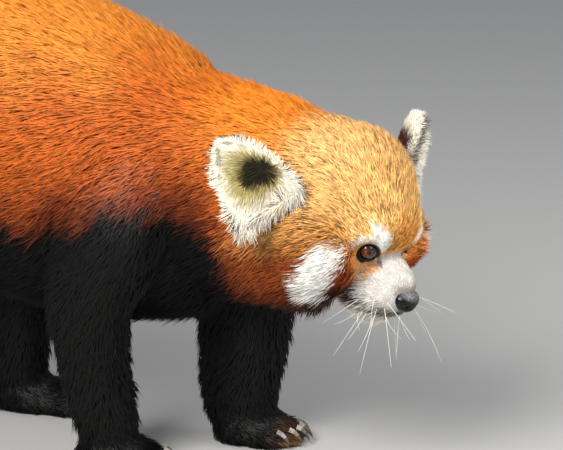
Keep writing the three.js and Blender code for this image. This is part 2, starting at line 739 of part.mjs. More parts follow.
// One curved claw, from inside the end of its toe
function clawSolid(paw, n) {
  const { x, y, fan } = toeLine(paw, n);
  const rings = [];
  const steps = 4;
  const sides = 4;
  const bend = 1.15;
  const radius = CLAW_LENGTH / bend;
  for (let i = 0; i <= steps; i++) {
    const lean = 0.15 + (bend * i) / steps;
    const middle = new THREE.Vector3(radius * Math.sin(lean), 0, radius * (Math.cos(lean) - 1));
    const thick = CLAW_RADIUS * (1 - (i / steps) ** 1.5);
    if (i === 0) rings.push([middle.clone()]);
    if (i === steps) {
      rings.push([middle]);
      continue;
    }
    const ring = [];
    for (let j = 0; j < sides; j++) {
      const angle = (2 * Math.PI * j) / sides;
      const up = new THREE.Vector3(Math.sin(lean), 0, Math.cos(lean));
      ring.push(
        middle
          .clone()
          .addScaledVector(new THREE.Vector3(0, 1, 0), thick * 0.8 * Math.cos(angle))
          .addScaledVector(up, thick * 1.25 * Math.sin(angle)),
      );
    }
    rings.push(ring);
  }
  const claw = skinOver(rings)
    .rotateZ(fan)
    .translate(x + TOE_RADIUS * 0.25, y, TOE_RADIUS * 1.15 + 2.6);
  return placedPaw(claw, paw);
}

// Assembly: a piece is cut clear of the larger ones that it grows from, so that they meet face to face
const root = new THREE.Group();
root.name = "red_panda";

function addNode(name, solid, coat) {
  const material = new THREE.MeshStandardMaterial({ ...coat, metalness: 0 });
  const mesh = new THREE.Mesh(asGeometry(solid), material);
  mesh.name = name;
  root.add(mesh);
}

// Each body form by name, from the one that others are cut to fit down to the ones that give way, with its own locks
const headCutter = (grow) => inHead(headSkin(grow + 1.8, 20, 24)); // coarse, so it stands clear by a little more
const legs = { ...FORELEG, ...HINDLEG };
const forms = [
  { name: "head", coat: COAT.golden, body: (grow) => (grow ? headCutter(grow) : makeHead()), locks: headLocks },
  { name: "torso", coat: COAT.rust, body: trunk },
  { name: "neck", coat: COAT.rust, body: neck },
  ...Object.entries(PAWS).map(([name, paw]) => ({ name, coat: COAT.black, body: (grow) => pawSolid(paw, grow) })),
  ...Object.entries(legs).map(([name, stations]) => ({
    name,
    coat: COAT.black,
    body: (grow) => legTube(stations, grow),
  })),
  { name: "tail", coat: COAT.ringed, body: tailCore, locks: tailLocks },
  ...Object.entries(EARS).map(([name, ear]) => ({
    name,
    coat: COAT.ear,
    body: (grow) => inHead(earSheet(ear, grow)),
    locks: (grow) => asSolidInHead([earTufts(ear, name === "ear_right" ? 1 : -1, grow)]),
  })),
];
for (const form of forms) {
  form.wide = form.body(GAP);
  form.wideLocks = form.locks?.(GAP);
}
forms.forEach((form, place) => {
  const before = forms.slice(0, place);
  let solid = form.body(0);
  if (before.length) solid = solid.subtract(fuse(before.map((other) => other.wide)));
  if (form.locks) {
    const others = forms.filter((other) => other !== form).map((other) => other.wide);
    const placed = before.filter((other) => other.locks).map((other) => other.wideLocks);
    solid = solid.add(form.locks(0).subtract(fuse([...others, ...placed])));
  }
  addNode(form.name, solid, form.coat);
});

// Nose, eyes and claws
addNode("nose", makeNose(), COAT.nose);
for (const [name, side] of Object.entries(SIDES)) {
  addNode(`eye_${name}`, inHead(eyeball(side)), COAT.eye);
}
for (const [name, paw] of Object.entries(PAWS)) {
  const wide = pawSolid(paw, GAP);
  for (let n = 0; n < TOES; n++) {
    addNode(`${name}_claw_${n + 1}`, clawSolid(paw, n).subtract(wide), COAT.claw);
  }
}

// The origin goes to the floor, in the middle of the box
const box = new THREE.Box3().setFromObject(root);
root.position.set(-(box.min.x + box.max.x) / 2, -(box.min.y + box.max.y) / 2, -box.min.z);

export default root;
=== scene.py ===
# %% [markdown]
# # A red panda at life size
# The animal stands in mid walk with its head low. Under the fur there is one closed skin, which is built
# from tubes and egg shapes and melted into a single surface. Over it lies the coat, tuft by tuft. The
# lengths here are millimetres in the animal's own frame: x forward, y to its left, z up, and x = 0 under
# the withers.

import bmesh
import bpy
import numpy as np
from mathutils import Matrix, Vector


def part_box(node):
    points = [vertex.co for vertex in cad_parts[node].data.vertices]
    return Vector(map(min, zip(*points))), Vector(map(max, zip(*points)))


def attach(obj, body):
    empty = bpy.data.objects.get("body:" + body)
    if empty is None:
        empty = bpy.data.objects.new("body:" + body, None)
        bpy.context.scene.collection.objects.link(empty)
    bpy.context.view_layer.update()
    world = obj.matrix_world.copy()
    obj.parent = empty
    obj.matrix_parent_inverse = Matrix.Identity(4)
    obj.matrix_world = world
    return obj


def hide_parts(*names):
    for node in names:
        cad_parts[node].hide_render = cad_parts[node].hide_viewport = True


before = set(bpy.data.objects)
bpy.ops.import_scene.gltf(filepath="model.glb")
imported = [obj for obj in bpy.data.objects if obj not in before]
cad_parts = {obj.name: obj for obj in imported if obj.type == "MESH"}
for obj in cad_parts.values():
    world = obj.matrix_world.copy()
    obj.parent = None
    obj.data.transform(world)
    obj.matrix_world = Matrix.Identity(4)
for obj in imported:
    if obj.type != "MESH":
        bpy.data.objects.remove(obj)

MM = 0.001
EYE_CENTRE = np.array([-5.6, 20.0, 0.0])  # of the left eye, in the head's frame
HEAD_AT = np.array([163.4, -20.0, 151.2])  # the middle between the eyes
HEAD_TURN = (-12.0, 35.4, -4.2)  # degrees: to the left, nose down, roll
SIDES = {"right": -1, "left": 1}
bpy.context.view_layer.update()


def turn_matrix(yaw, pitch, roll):
    """Turns by roll about x first, then by pitch about y, then by yaw about z."""
    r, p, y = np.radians([roll, pitch, yaw])
    about_x = np.array([[1, 0, 0], [0, np.cos(r), -np.sin(r)], [0, np.sin(r), np.cos(r)]])
    about_y = np.array([[np.cos(p), 0, np.sin(p)], [0, 1, 0], [-np.sin(p), 0, np.cos(p)]])
    about_z = np.array([[np.cos(y), -np.sin(y), 0], [np.sin(y), np.cos(y), 0], [0, 0, 1]])
    return about_z @ about_y @ about_x


HEAD_AXES = turn_matrix(*HEAD_TURN)


def from_head(h):
    """Points in the head's frame, taken to the animal's frame."""
    return np.asarray(h, float) @ HEAD_AXES.T + HEAD_AT


def to_head(p):
    """Points in the animal's frame, taken to the head's frame."""
    return (np.asarray(p, float) - HEAD_AT) @ HEAD_AXES


def new_object(name, data):
    """An object of some data, linked to the scene."""
    obj = bpy.data.objects.new(name, data)
    bpy.context.scene.collection.objects.link(obj)
    return obj


def place_points(mesh, points):
    """Puts a mesh's vertices at points in millimetres in the animal's frame."""
    mesh.vertices.foreach_set("co", ((np.asarray(points) + SHIFT) * MM).astype(np.float32).ravel())


eye_box = np.array([list(corner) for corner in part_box("eye_right")])
SHIFT = eye_box.mean(0) / MM - from_head(EYE_CENTRE * [1, -1, 1])
print("the animal's frame lies in the part's frame at", SHIFT.round(2), "mm")

# %% [markdown]
# ## The camera
# A long lens from the animal's right, a little above its back. The camera comes first, because the coat is
# sown more densely on the side that it sees, and coarser where only a walk round the model shows it.

# %% The camera
LENS_PX = 3968.0  # focal length in pixels of an image that is 563 wide
IMAGE = (563, 450)
LOOK_AT = np.array([80.0, 0.0, 156.0])
AROUND, ABOVE = np.radians(25.0), np.radians(12.0)
CAMERA_FAR = 2500.0
cam_right = np.array([np.cos(AROUND), np.sin(AROUND), 0.0])
cam_ahead = np.array([-np.sin(AROUND) * np.cos(ABOVE), np.cos(AROUND) * np.cos(ABOVE), -np.sin(ABOVE)])
cam_up = np.cross(cam_right, cam_ahead)
cam_at = LOOK_AT - CAMERA_FAR * cam_ahead

camera_data = bpy.data.cameras.new("camera")
camera_data.sensor_fit = "HORIZONTAL"
camera_data.sensor_width = 36.0
camera_data.lens = 36.0 * LENS_PX / IMAGE[0]
camera = new_object("camera", camera_data)
axes = np.eye(4)
axes[:3, 0], axes[:3, 1], axes[:3, 2] = cam_right, cam_up, -cam_ahead
axes[:3, 3] = (cam_at + SHIFT) * MM
camera.matrix_world = Matrix(axes.tolist())
bpy.context.scene.camera = camera
print("camera", [round(x, 3) for x in camera.location])


def in_picture(p):
    """Where points land in the picture, in pixels from its upper left corner."""
    ray = np.asarray(p, float) - cam_at
    deep = ray @ cam_ahead
    return np.stack([
        IMAGE[0] / 2 + LENS_PX * (ray @ cam_right) / deep,
        IMAGE[1] / 2 - LENS_PX * (ray @ cam_up) / deep,
    ], 1)


# %% [markdown]
# ## Helpers
# A soft step and what follows from it, a Catmull-Rom curve through given values, a cheap smooth noise, and
# one way to put arrays in a mesh. The rest of the file is built from these.

# %% Helpers for numbers
def soft_step(x, low, high):
    """0 below low, 1 above high, and 3t^2 - 2t^3 between, with t the share of the way."""
    t = np.clip((x - low) / (high - low), 0, 1)
    return t * t * (3 - 2 * t)


def fade(x, low, high):
    """1 below low and 0 above high: one less the soft step."""
    return 1 - soft_step(x, low, high)


def band(x, low, high):
    """1 between two soft edges: it rises between the two places in low and fades between the two in
    high."""
    return soft_step(x, *low) * fade(x, *high)


def mix(a, b, share):
    """a where share is 0 and b where it is 1, for colours or vectors row by row."""
    share = np.asarray(share)[..., None]
    return a * (1 - share) + b * share


def unit(v):
    """Vectors at length one."""
    return v / np.maximum(np.linalg.norm(v, axis=-1, keepdims=True), 1e-9)


def along_surface(v, out):
    """Vectors less their part along the normals, which leaves what runs along the surface."""
    return v - out * (v * out).sum(1, keepdims=True)


def curve(values, t):
    """Catmull-Rom: a cubic runs from each value to the next, with a slope of half the step between
    neighbours."""
    values = np.asarray(values, float)
    last = len(values) - 1
    padded = np.vstack([2 * values[0] - values[1], values, 2 * values[-1] - values[-2]])
    place = np.clip(np.asarray(t, float), 0, 1) * last
    k = np.minimum(place.astype(int), last - 1)
    f = (place - k)[:, None]
    a, b, c, d = (padded[k + n] for n in range(4))
    return b + 0.5 * f * (c - a + f * (2 * a - 5 * b + 4 * c - d + f * (3 * (b - c) + d - a)))


def ripple(p, size, seed, waves=7):
    """Smooth noise of about -1 to 1: the mean of sine waves of about one size that run in seeded
    directions."""
    draw = np.random.default_rng(seed)
    ways = unit(draw.normal(size=(waves, 3))) * 2 * np.pi / (size * draw.uniform(0.7, 1.5, (waves, 1)))
    return np.sin(p @ ways.T + draw.uniform(0, 2 * np.pi, waves)).mean(1) * 2.2


def ripples(p, size, seed):
    """Three smooth noises, from seeds in a row, as the three parts of a vector."""
    return np.stack([ripple(p, size, seed + n) for n in range(3)], 1)


def tint(code):
    """A colour from its sRGB hex code, as linear light."""
    srgb = np.array([int(code[n : n + 2], 16) / 255 for n in (1, 3, 5)])
    return np.where(srgb < 0.04045, srgb / 12.92, ((srgb + 0.055) / 1.055) ** 2.4)


# %% Helpers for meshes
def piece(name, points, faces, material=None, smooth=True):
    """A mesh object from points in millimetres and faces that all have the same number of corners."""
    faces = np.asarray(faces, np.int32)
    mesh = bpy.data.meshes.new(name)
    mesh.vertices.add(len(points))
    place_points(mesh, points)
    mesh.loops.add(faces.size)
    mesh.loops.foreach_set("vertex_index", faces.ravel())
    mesh.polygons.add(len(faces))
    mesh.polygons.foreach_set("loop_start", np.arange(0, faces.size, faces.shape[1], dtype=np.int32))
    mesh.update(calc_edges=True)
    mesh.polygons.foreach_set("use_smooth", np.full(len(faces), smooth))
    if material:
        mesh.materials.append(material)
    return new_object(name, mesh)


def add_colours(obj, colours, name="coat"):
    """One linear colour for each vertex, which the material reads by its name."""
    rgba = np.ones((len(colours), 4), np.float32)
    rgba[:, :3] = colours
    obj.data.color_attributes.new(name, "FLOAT_COLOR", "POINT").data.foreach_set("color", rgba.ravel())


def closed_tube(rings):
    """Triangles over rings of points (rows, around, 3), closed by a pole at each end. The poles are the
    last two points. The rings turn so that their faces point outwards when they run anticlockwise seen from
    the last one."""
    rows, around = rings.shape[:2]
    points = np.vstack([rings.reshape(-1, 3), rings[0].mean(0), rings[-1].mean(0)])
    i, j = np.meshgrid(np.arange(rows - 1), np.arange(around), indexing="ij")
    a = (i * around + j).ravel()
    b = (i * around + (j + 1) % around).ravel()
    c, d = b + around, a + around
    j = np.arange(around)
    k = (j + 1) % around
    start = np.full(around, rows * around)
    end, top = start + 1, (rows - 1) * around
    faces = [np.stack(f, 1) for f in ((a, b, c), (a, c, d), (k, j, start), (j + top, k + top, end))]
    return points, np.vstack(faces)


def rings_round(line, wide, high, around):
    """Rings round a line: each point of the line, plus the cosine of an angle times one vector and its sine
    times another."""
    angle = np.linspace(0, 2 * np.pi, around, endpoint=False)[None, :, None]
    return line[:, None] + np.cos(angle) * wide[:, None] + np.sin(angle) * high[:, None]


def one_mesh(shapes):
    """The points of several shapes in a row, and their faces, renumbered to match."""
    starts = np.cumsum([0] + [len(points) for points, _ in shapes])
    faces = [faces + start for (_, faces), start in zip(shapes, starts)]
    return np.vstack([points for points, _ in shapes]), np.vstack(faces)


def applied(obj):
    """The mesh that an object's modifiers give."""
    return bpy.data.meshes.new_from_object(obj.evaluated_get(bpy.context.evaluated_depsgraph_get()))


def mesh_arrays(mesh):
    """The vertices in millimetres in the animal's frame, the triangles and the edges of a mesh."""
    co = np.empty(len(mesh.vertices) * 3, np.float32)
    mesh.vertices.foreach_get("co", co)
    mesh.calc_loop_triangles()
    tri = np.empty(len(mesh.loop_triangles) * 3, np.int32)
    mesh.loop_triangles.foreach_get("vertices", tri)
    edge = np.empty(len(mesh.edges) * 2, np.int32)
    mesh.edges.foreach_get("vertices", edge)
    return co.reshape(-1, 3) / MM - SHIFT, tri.reshape(-1, 3), edge.reshape(-1, 2)


def spread(values, edges, passes, share=0.5):
    """Evens values out over a mesh: each vertex moves by a share of the way to the mean of its
    neighbours."""
    values = np.array(values, float).reshape(len(values), -1)
    a, b = np.concatenate([edges[:, 0], edges[:, 1]]), np.concatenate([edges[:, 1], edges[:, 0]])
    count = np.maximum(np.bincount(a, minlength=len(values)), 1)
    for _ in range(passes):
        mean = np.stack([np.bincount(a, col[b], len(values)) / count for col in values.T], 1)
        values = values + share * (mean - values)
    return values


# %% [markdown]
# ## The shape under the coat
# A trunk, a neck, four legs and a tail are tubes: an oval profile carried along a smooth line through
# stations. The coat is left off their outline by its own depth, so that the tips of the hair reach the true
# outline.

# %% Stations of the body
# Each row: middle x, y, z, then the half width, the half height above and the half height below the middle.
TRUNK = np.array([[x, 0, (top + bottom) / 2, half, (top - bottom) / 2, (top - bottom) / 2]
                  for x, top, bottom, half in [
    (54, 224, 106, 50), (26, 244, 88, 63), (-6, 265, 81, 73), (-48, 284, 83, 80), (-98, 300, 93, 85),
    (-150, 307, 107, 86), (-200, 301, 120, 82), (-244, 284, 134, 73), (-280, 256, 152, 56)]])
NECK = np.array([(-4, 0, 188, 62, 69, 78), (40, -2, 183, 61, 66, 78), (82, -6, 180, 55, 60, 76),
                 (114, -11, 178, 48, 51, 74)])
LEGS = {
    "foreleg_right": [(0, -46, 200, 22, 36, 36), (-10, -54, 160, 29, 42, 42), (-24, -58, 112, 27, 31, 34),
                      (-25, -55, 72, 24, 26, 27), (-20, -52, 40, 22, 24, 25), (-18, -51, 17, 21, 23, 22)],
    "foreleg_left": [(6, 44, 200, 22, 36, 36), (14, 52, 160, 29, 42, 44), (28, 53, 112, 27, 39, 41),
                     (34, 49, 72, 25, 31, 38), (32, 46, 40, 23, 27, 34), (32, 45, 17, 22, 25, 30)],
    "hindleg_right": [(-236, -46, 218, 26, 44, 40), (-222, -60, 180, 32, 52, 46),
                      (-204, -66, 138, 30, 42, 42), (-216, -64, 92, 25, 30, 32),
                      (-236, -60, 52, 22, 25, 25), (-238, -58, 20, 20, 24, 22)],
    "hindleg_left": [(-228, 46, 218, 26, 44, 40), (-196, 60, 180, 32, 52, 46),
                     (-156, 66, 138, 30, 42, 42), (-142, 62, 92, 25, 30, 32),
                     (-142, 57, 52, 22, 26, 25), (-142, 55, 20, 20, 24, 22)],
}
TAIL = np.array([(-268, 0, 226, 27), (-318, 2, 214, 33), (-380, 6, 198, 43), (-450, 14, 180, 48),
                 (-520, 26, 164, 49), (-590, 40, 152, 47), (-650, 54, 146, 41), (-690, 64, 144, 30)], float)
# The tail's rows above hold a middle and the radius of the brush. This is the flesh's share of that radius.
TAIL_FLESH = np.array([0.66, 0.5, 0.36, 0.32, 0.31, 0.31, 0.31, 0.34])
# Each paw: x and y of its heel, its length and width, and its turn to the left in degrees
PAWS = {"forepaw_right": (-42, -51, 64, 47, 4), "forepaw_left": (9, 45, 64, 47, 2),
        "hindpaw_right": (-262, -58, 80, 44, -8), "hindpaw_left": (-165, 55, 80, 44, 6)}
PAW_HEIGHT, TOES, TOE_RADIUS = 28.0, 5, 7.4
TOE_FAN, TOE_DROOP = np.degrees(0.16), np.degrees(0.22)  # how far the outer toes turn out, and all droop
COAT_DEPTH = {"trunk": 8.0, "neck": 7.0, "leg": 5.5, "paw": 2.4}
END_RINGS, END_START = 5, 0.06  # rings that close a tube's end, and the angle of the first from the pole


def tube(stations, inset, ends, steps=60, around=40, fullness=2.2):
    """A closed tube. At each place along the line the ring is a superellipse: the sine and cosine of the
    angle round it, each raised to 2 / fullness and scaled by the half sizes. The ends close as quarter
    ellipses."""
    lean = np.linspace(END_START, np.pi / 2, END_RINGS, endpoint=False)
    t = np.concatenate([np.zeros(END_RINGS), np.linspace(0, 1, steps), np.ones(END_RINGS)])
    shift = np.concatenate([-(ends[0] - inset) * np.cos(lean), np.zeros(steps),
                            (ends[1] - inset) * np.cos(lean[::-1])])
    share = np.concatenate([np.sin(lean), np.ones(steps), np.sin(lean[::-1])])
    row = curve(stations, t)
    along = unit(curve(stations, t + 0.004)[:, :3] - curve(stations, t - 0.004)[:, :3])
    side = unit(np.array([0, 1.0, 0]) - along * along[:, 1:2])
    up = np.cross(along, side)
    angle = np.linspace(0, 2 * np.pi, around, endpoint=False)
    c, s = np.cos(angle), np.sin(angle)
    wide = np.sign(c) * np.abs(c) ** (2 / fullness)
    high = np.sign(s) * np.abs(s) ** (2 / fullness)
    half = (row[:, 3] - inset) * share
    tall = np.where(s > 0, row[:, 4:5] - inset, row[:, 5:6] - inset) * share[:, None]
    middle = row[:, :3] + along * shift[:, None]
    rings = middle[:, None] + side[:, None] * (half[:, None] * wide)[..., None]
    return closed_tube(rings + up[:, None] * (tall * high)[..., None])


def egg(at, size, turn=np.eye(3), rows=14, around=20):
    """An ellipsoid: the sphere's grid of two angles, scaled, turned and moved."""
    lean = np.linspace(0.08, np.pi - 0.08, rows)[:, None]
    angle = np.linspace(0, 2 * np.pi, around, endpoint=False)
    wide = np.sin(lean)
    ball = np.stack([wide * np.cos(angle), wide * np.sin(angle), -np.cos(lean) + 0 * angle], -1)
    points, faces = closed_tube(ball)
    return (points * size) @ turn.T + at, faces


# %% [markdown]
# ## The head as flowing masses
# The skull, brows, cheeks, muzzle and chin are ellipsoids. Each gives a distance to its surface, and a
# smooth minimum of all of them is one surface without creases, which serves the skin, the lids, the lips
# and the fur.

# %% The head's masses
HEAD_MASSES = {
    "cranium": ((-46, 0, 8), (43, 47, 46)),
    "forehead": ((-20, 0, 12), (27, 31, 24)),
    "brow": ((-11, 16, 8), (13, 14, 11)),
    "cheek": ((-28, 37, -11), (32, 27, 27)),
    "jowl": ((-22, 34, -28), (24, 24, 20)),
    "jaw": ((-14, 0, -28), (34, 26, 16)),
    "muzzle": ((11, 0, -20), (20, 17, 13.5)),
    "bridge": ((8, 0, -8), (20, 9.5, 9)),
    "lips": ((8, 9, -24), (15, 10, 10)),
    "chin": ((9, 0, -34), (12, 10, 9.5)),
    "nape": ((-66, 0, -4), (30, 46, 38)),
}
HEAD_FILLET = 11.0
BLOB_DEPTH, BLOB_STEP = 3.5, 3.0  # how far the rough head lies under the outline, and a step of the search
EYE_RADIUS = 7.2
EYE_TURN = np.radians(40.0)  # outwards from straight ahead
EYE_HOLLOW = {"ahead": 12.5, "radius": 9.0, "fillet": 5.0}
NOSE_CENTRE, NOSE_SIZE = np.array([27.2, 0, -16.2]), np.array([7.7, 10.3, 8.2])


def smooth_min(a, b, fillet):
    """The lesser of two distances, less a quarter of h^2 times the fillet, where h is how nearly equal they
    are."""
    h = np.maximum(fillet - np.abs(a - b), 0) / fillet
    return np.minimum(a, b) - h * h * fillet / 4


def one_side(h):
    """Points of both sides of the head, laid on the left one."""
    return np.stack([h[:, 0], np.abs(h[:, 1]), h[:, 2]], 1)


def eye_distance(h):
    """How far points in the head's frame are from the middle of the eye on their side."""
    return np.linalg.norm(one_side(h) - EYE_CENTRE, axis=1)


def head_gap(h):
    """About how far points in the head's frame lie outside the coat's outline. Both sides are alike."""
    q = one_side(h)
    gap = np.full(len(q), 1e3)
    for at, size in HEAD_MASSES.values():
        d = (q - at) / size
        reach, steep = np.linalg.norm(d, axis=1), np.linalg.norm(d / size, axis=1) + 1e-9
        gap = smooth_min(gap, reach * (reach - 1) / steep, min(HEAD_FILLET, 0.9 * size[2]))
    ahead = EYE_CENTRE + EYE_HOLLOW["ahead"] * np.array([np.cos(EYE_TURN), np.sin(EYE_TURN), 0])
    return -smooth_min(-gap, np.linalg.norm(q - ahead, axis=1) - EYE_HOLLOW["radius"], EYE_HOLLOW["fillet"])


def hair_depth(h):
    """How far the head's skin lies under the outline: hardly at all by the nose and eyes, most on the
    cheeks."""
    far = np.linalg.norm(h - NOSE_CENTRE, axis=1)
    return (0.6 + 4.2 * soft_step(far, 10, 70)) * (0.25 + 0.75 * soft_step(eye_distance(h), 9, 20))


def to_head_skin(h, passes=4):
    """Moves points along the slope of the gap until they lie on the skin, under the outline by the hair's
    depth."""
    h = np.array(h, float)
    step = 0.05
    for _ in range(passes):
        value = head_gap(h) + hair_depth(h)
        slope = np.stack([head_gap(h + d) - head_gap(h - d) for d in np.eye(3) * step], 1) / (2 * step)
        move = -value / np.maximum((slope**2).sum(1), 0.1)
        h += slope * np.clip(move, -3, 3)[:, None]
    return h


def head_blob(rows=60, around=72):
    """The head as rays from its middle. Each is followed outwards in steps until it is no longer under the
    rough depth, and the last step is then halved again and again."""
    middle = np.array([-20.0, 0, -10])
    ball, faces = egg((0, 0, 0), (1, 1, 1), rows=rows, around=around)
    ray = unit(ball)[:, [2, 0, 1]]
    low, high = np.zeros(len(ray)), np.full(len(ray), BLOB_STEP)
    for search in ["outwards"] * 40 + ["halving"] * 12:
        reach = high if search == "outwards" else (low + high) / 2
        inside = head_gap(middle + ray * reach[:, None]) + BLOB_DEPTH < 0
        beyond = high + BLOB_STEP if search == "outwards" else high
        low, high = np.where(inside, reach, low), np.where(inside, beyond, reach)
    return from_head(middle + ray * low[:, None]), faces


# %% [markdown]
# ## One skin
# All these closed shapes go into one mesh. A voxel remesh turns them into a single closed surface, as if
# they had been dipped in wax, and smoothing rounds the creases between them. The head is then divided more
# finely and moved on to its own smooth surface, so that eyes, lips and nose sit in it exactly.

# %% Melt the shapes into one skin
VOXEL = 4.0
NAPE = ((121, -15, 193), (37, 37, 36.5))  # the mass that fills the dip behind the crown: middle, half sizes


def paw_shapes(heel, middle, long, wide, turn):
    """A flat egg for the paw's body and a small one for each toe. The toes stand side by side across its
    front. The outer ones start further back by the square of their place across, and fan out."""
    made = [egg((long * 0.44, 0, PAW_HEIGHT * 0.3),
                np.array([long * 0.45, wide / 2, PAW_HEIGHT * 0.62]) - COAT_DEPTH["paw"])]
    toe_size = TOE_RADIUS * np.array([1.9, 1, 1.15]) - [1, 0.8, 1]
    for across in np.linspace(-1, 1, TOES):
        at = (long - TOE_RADIUS * (2 + 0.9 * across**2), across * (wide / 2 - TOE_RADIUS), TOE_RADIUS * 0.95)
        made.append(egg(at, toe_size, turn_matrix(TOE_FAN * across, TOE_DROOP, 0)))
    return [(points @ turn_matrix(turn, 0, 0).T + [heel, middle, 0], faces) for points, faces in made]


tail_rows = np.column_stack([TAIL[:, :3], *[TAIL[:, 3] * TAIL_FLESH] * 3])
shapes = [
    tube(TRUNK[::-1], COAT_DEPTH["trunk"], (34, 24)),
    tube(NECK, COAT_DEPTH["neck"], (20, 16)),
    head_blob(),
    egg(*NAPE, turn_matrix(-12, 0, 0)),
    tube(tail_rows, 0, (40, 12), fullness=2.0),
    *[tube(np.array(rows, float), COAT_DEPTH["leg"], (18, 8)) for rows in LEGS.values()],
    *[shape for paw in PAWS.values() for shape in paw_shapes(*paw)],
]
raw = piece("raw_skin", *one_mesh(shapes))
melt = raw.modifiers.new("melt", "REMESH")
melt.mode, melt.voxel_size, melt.adaptivity = "VOXEL", VOXEL * MM, 0.0
melted = applied(raw)
bpy.data.objects.remove(raw)
print("melted skin:", len(melted.vertices), "vertices")

# %% Smooth it, and divide the face more finely
FACE_MIDDLE = np.array([4.0, 0, -12])
FACE_ZONES = [(60.0, 11.0), (42.0, 9.0), (30.0, 8.0)]  # how far from the face's middle, and from the outline


def divide(mesh, chosen):
    """Splits the edges of the chosen vertices' faces in half, and fills the faces with smaller ones."""
    work = bmesh.new()
    work.from_mesh(mesh)
    work.verts.ensure_lookup_table()
    picked = {v for v, c in zip(work.verts, chosen) if c}
    edges = [e for e in work.edges if e.verts[0] in picked and e.verts[1] in picked]
    bmesh.ops.subdivide_edges(work, edges=edges, cuts=1, use_grid_fill=True)
    work.to_mesh(mesh)
    work.free()


points, _, edges = mesh_arrays(melted)
for share in [0.5, -0.52] * 6 + [0.5, 0.5]:  # in and out in turn, which rounds creases and keeps the volume
    points = spread(points, edges, 1, share)
place_points(melted, points)
for reach, near in FACE_ZONES:
    h = to_head(mesh_arrays(melted)[0])
    in_zone = np.linalg.norm((h - FACE_MIDDLE) * [1, 0.8, 1], axis=1) < reach
    divide(melted, in_zone & (np.abs(head_gap(h)) < near))
points, _, edges = mesh_arrays(melted)
h = to_head(points)
on_head = soft_step(h[:, 0], -62, -42) * (np.abs(head_gap(h) + hair_depth(h)) < 8)
on_head = spread(on_head, edges, 3)[:, 0] * (on_head > 0)
points = mix(points, from_head(to_head_skin(h)), on_head)
points[:, 2] = np.maximum(points[:, 2], 0)
place_points(melted, points)
melted.update()
print("skin with a finer face:", len(melted.vertices), "vertices")

# %% [markdown]
# ## The ears
# Each ear is a leaf of two parameters, across and along, that curls round its own long axis into a cup. The
# two faces meet in a thin rim. It is joined to the skin by a Boolean union, so its root has no seam.

# %% Ears on the skin
# crown: the sign of the place across that lies towards the crown. dark: how far the dark middle spreads,
# towards the crown and outwards
EARS = {"right": {"root": (-64, -63, -3), "tip": (-99, -83, 13), "face": (0.6, -0.7, 0.36),
                  "crown": -1, "dark": (0.3, 0.48)},
        "left": {"root": (-46, 49, 20), "tip": (-66, 74, 45), "face": (0.8, 0.42, 0.4),
                 "crown": 1, "dark": (0.12, 0.2)}}
EAR_WIDTH, EAR_THICK, EAR_CUP, EAR_CURL = 43.0, 4.4, 12.0, 1.15
EAR_DARK = (0.36, 0.42)  # the dark middle of the cup: across, towards the crown, and along


def ear_axes(ear):
    """The ear's root, height and three directions: up along it, out of the cup and across it."""
    foot, top, face = (np.array(ear[k], float) for k in ("root", "tip", "face"))
    height = np.linalg.norm(top - foot)
    long = (top - foot) / height
    out = unit(face - long * (face @ long))
    return foot, height, long, out, np.cross(out, long)


def ear_point(ear, u, w, facing, thick=EAR_THICK):
    """The leaf at u across (-1 to 1) and w along (0 to 1). It narrows to a rounded tip, bends by 1 - cos of
    the curl towards its edges, and facing moves the point to the cup's side (1) or the back (-1)."""
    foot, height, long, out, side = ear_axes(ear)
    spread_by = EAR_WIDTH / 2 * (1 - 0.22 * w) * np.sqrt(np.maximum(0, 1 - w**3.4))
    curl = EAR_CURL * u
    rim = np.sqrt(np.maximum(0, 1 - u * u)) * 0.75 + 0.25
    cup = EAR_CUP * (1 - np.cos(curl)) * 1.7 * (1 - 0.55 * w) - EAR_CUP * 0.3
    return (foot + long * (height * w * (1 - 0.06 * u * u) - 9 * (1 - w))[..., None]
            + side * (spread_by * np.sin(curl) / np.sin(EAR_CURL))[..., None]
            + out * (cup + facing * thick / 2 * rim * (1 - 0.4 * w))[..., None])


def crownwards(ear, place):
    """Places on an ear's leaf, with the one across counted towards the crown: across, along, and which
    face."""
    return place.T * np.array([ear["crown"], 1, 1])[:, None]


def ear_foot(h, ear):
    """How far points in the head's frame lie from the foot of the cup: a line that runs from the crown's
    side of the ear to its outer corner, and a little beyond it."""
    ends = ear_point(ear, np.array([0.75, -1.15]) * ear["crown"], np.full(2, 0.12), np.ones(2))
    along = ends[1] - ends[0]
    share = np.clip((h - ends[0]) @ along / (along @ along), 0, 1)
    return np.linalg.norm(h - ends[0] - share[:, None] * along, axis=1)


def ear_leaf(ear, across=26, steps=26):
    """The closed leaf: rings that run down the cup's side and back along the other, from root to tip."""
    u = np.linspace(1, -1, across, endpoint=False)
    u, facing = np.concatenate([u, -u]), np.repeat([1.0, -1.0], across)
    w = np.linspace(0, 0.985, steps)[:, None]
    points, faces = closed_tube(ear_point(ear, u + 0 * w, w + 0 * u, facing + 0 * w))
    return from_head(points), faces


skin = new_object("skin", melted)
for side, ear in EARS.items():
    leaf = piece("leaf_" + side, *ear_leaf(ear))
    join = skin.modifiers.new("join", "BOOLEAN")
    join.operation, join.solver, join.object = "UNION", "MANIFOLD", leaf
    joined = applied(skin)
    skin.modifiers.clear()
    skin.data = joined
    bpy.data.objects.remove(leaf)
joined.name = "skin"
work = bmesh.new()
work.from_mesh(joined)
bmesh.ops.triangulate(work, faces=work.faces[:])
work.to_mesh(joined)
work.free()
joined.polygons.foreach_set("use_smooth", np.full(len(joined.polygons), True))
print("skin with ears:", len(joined.polygons), "triangles")

# %% [markdown]
# ## Which way the hair lies
# At every point of the skin the hair has a direction. It runs back from the nose over the crown, down and
# back over the cheeks, back along the trunk and down the legs. The directions of neighbouring parts are
# weighed by how near each part's surface is, then evened out over the skin, so that no parting shows.

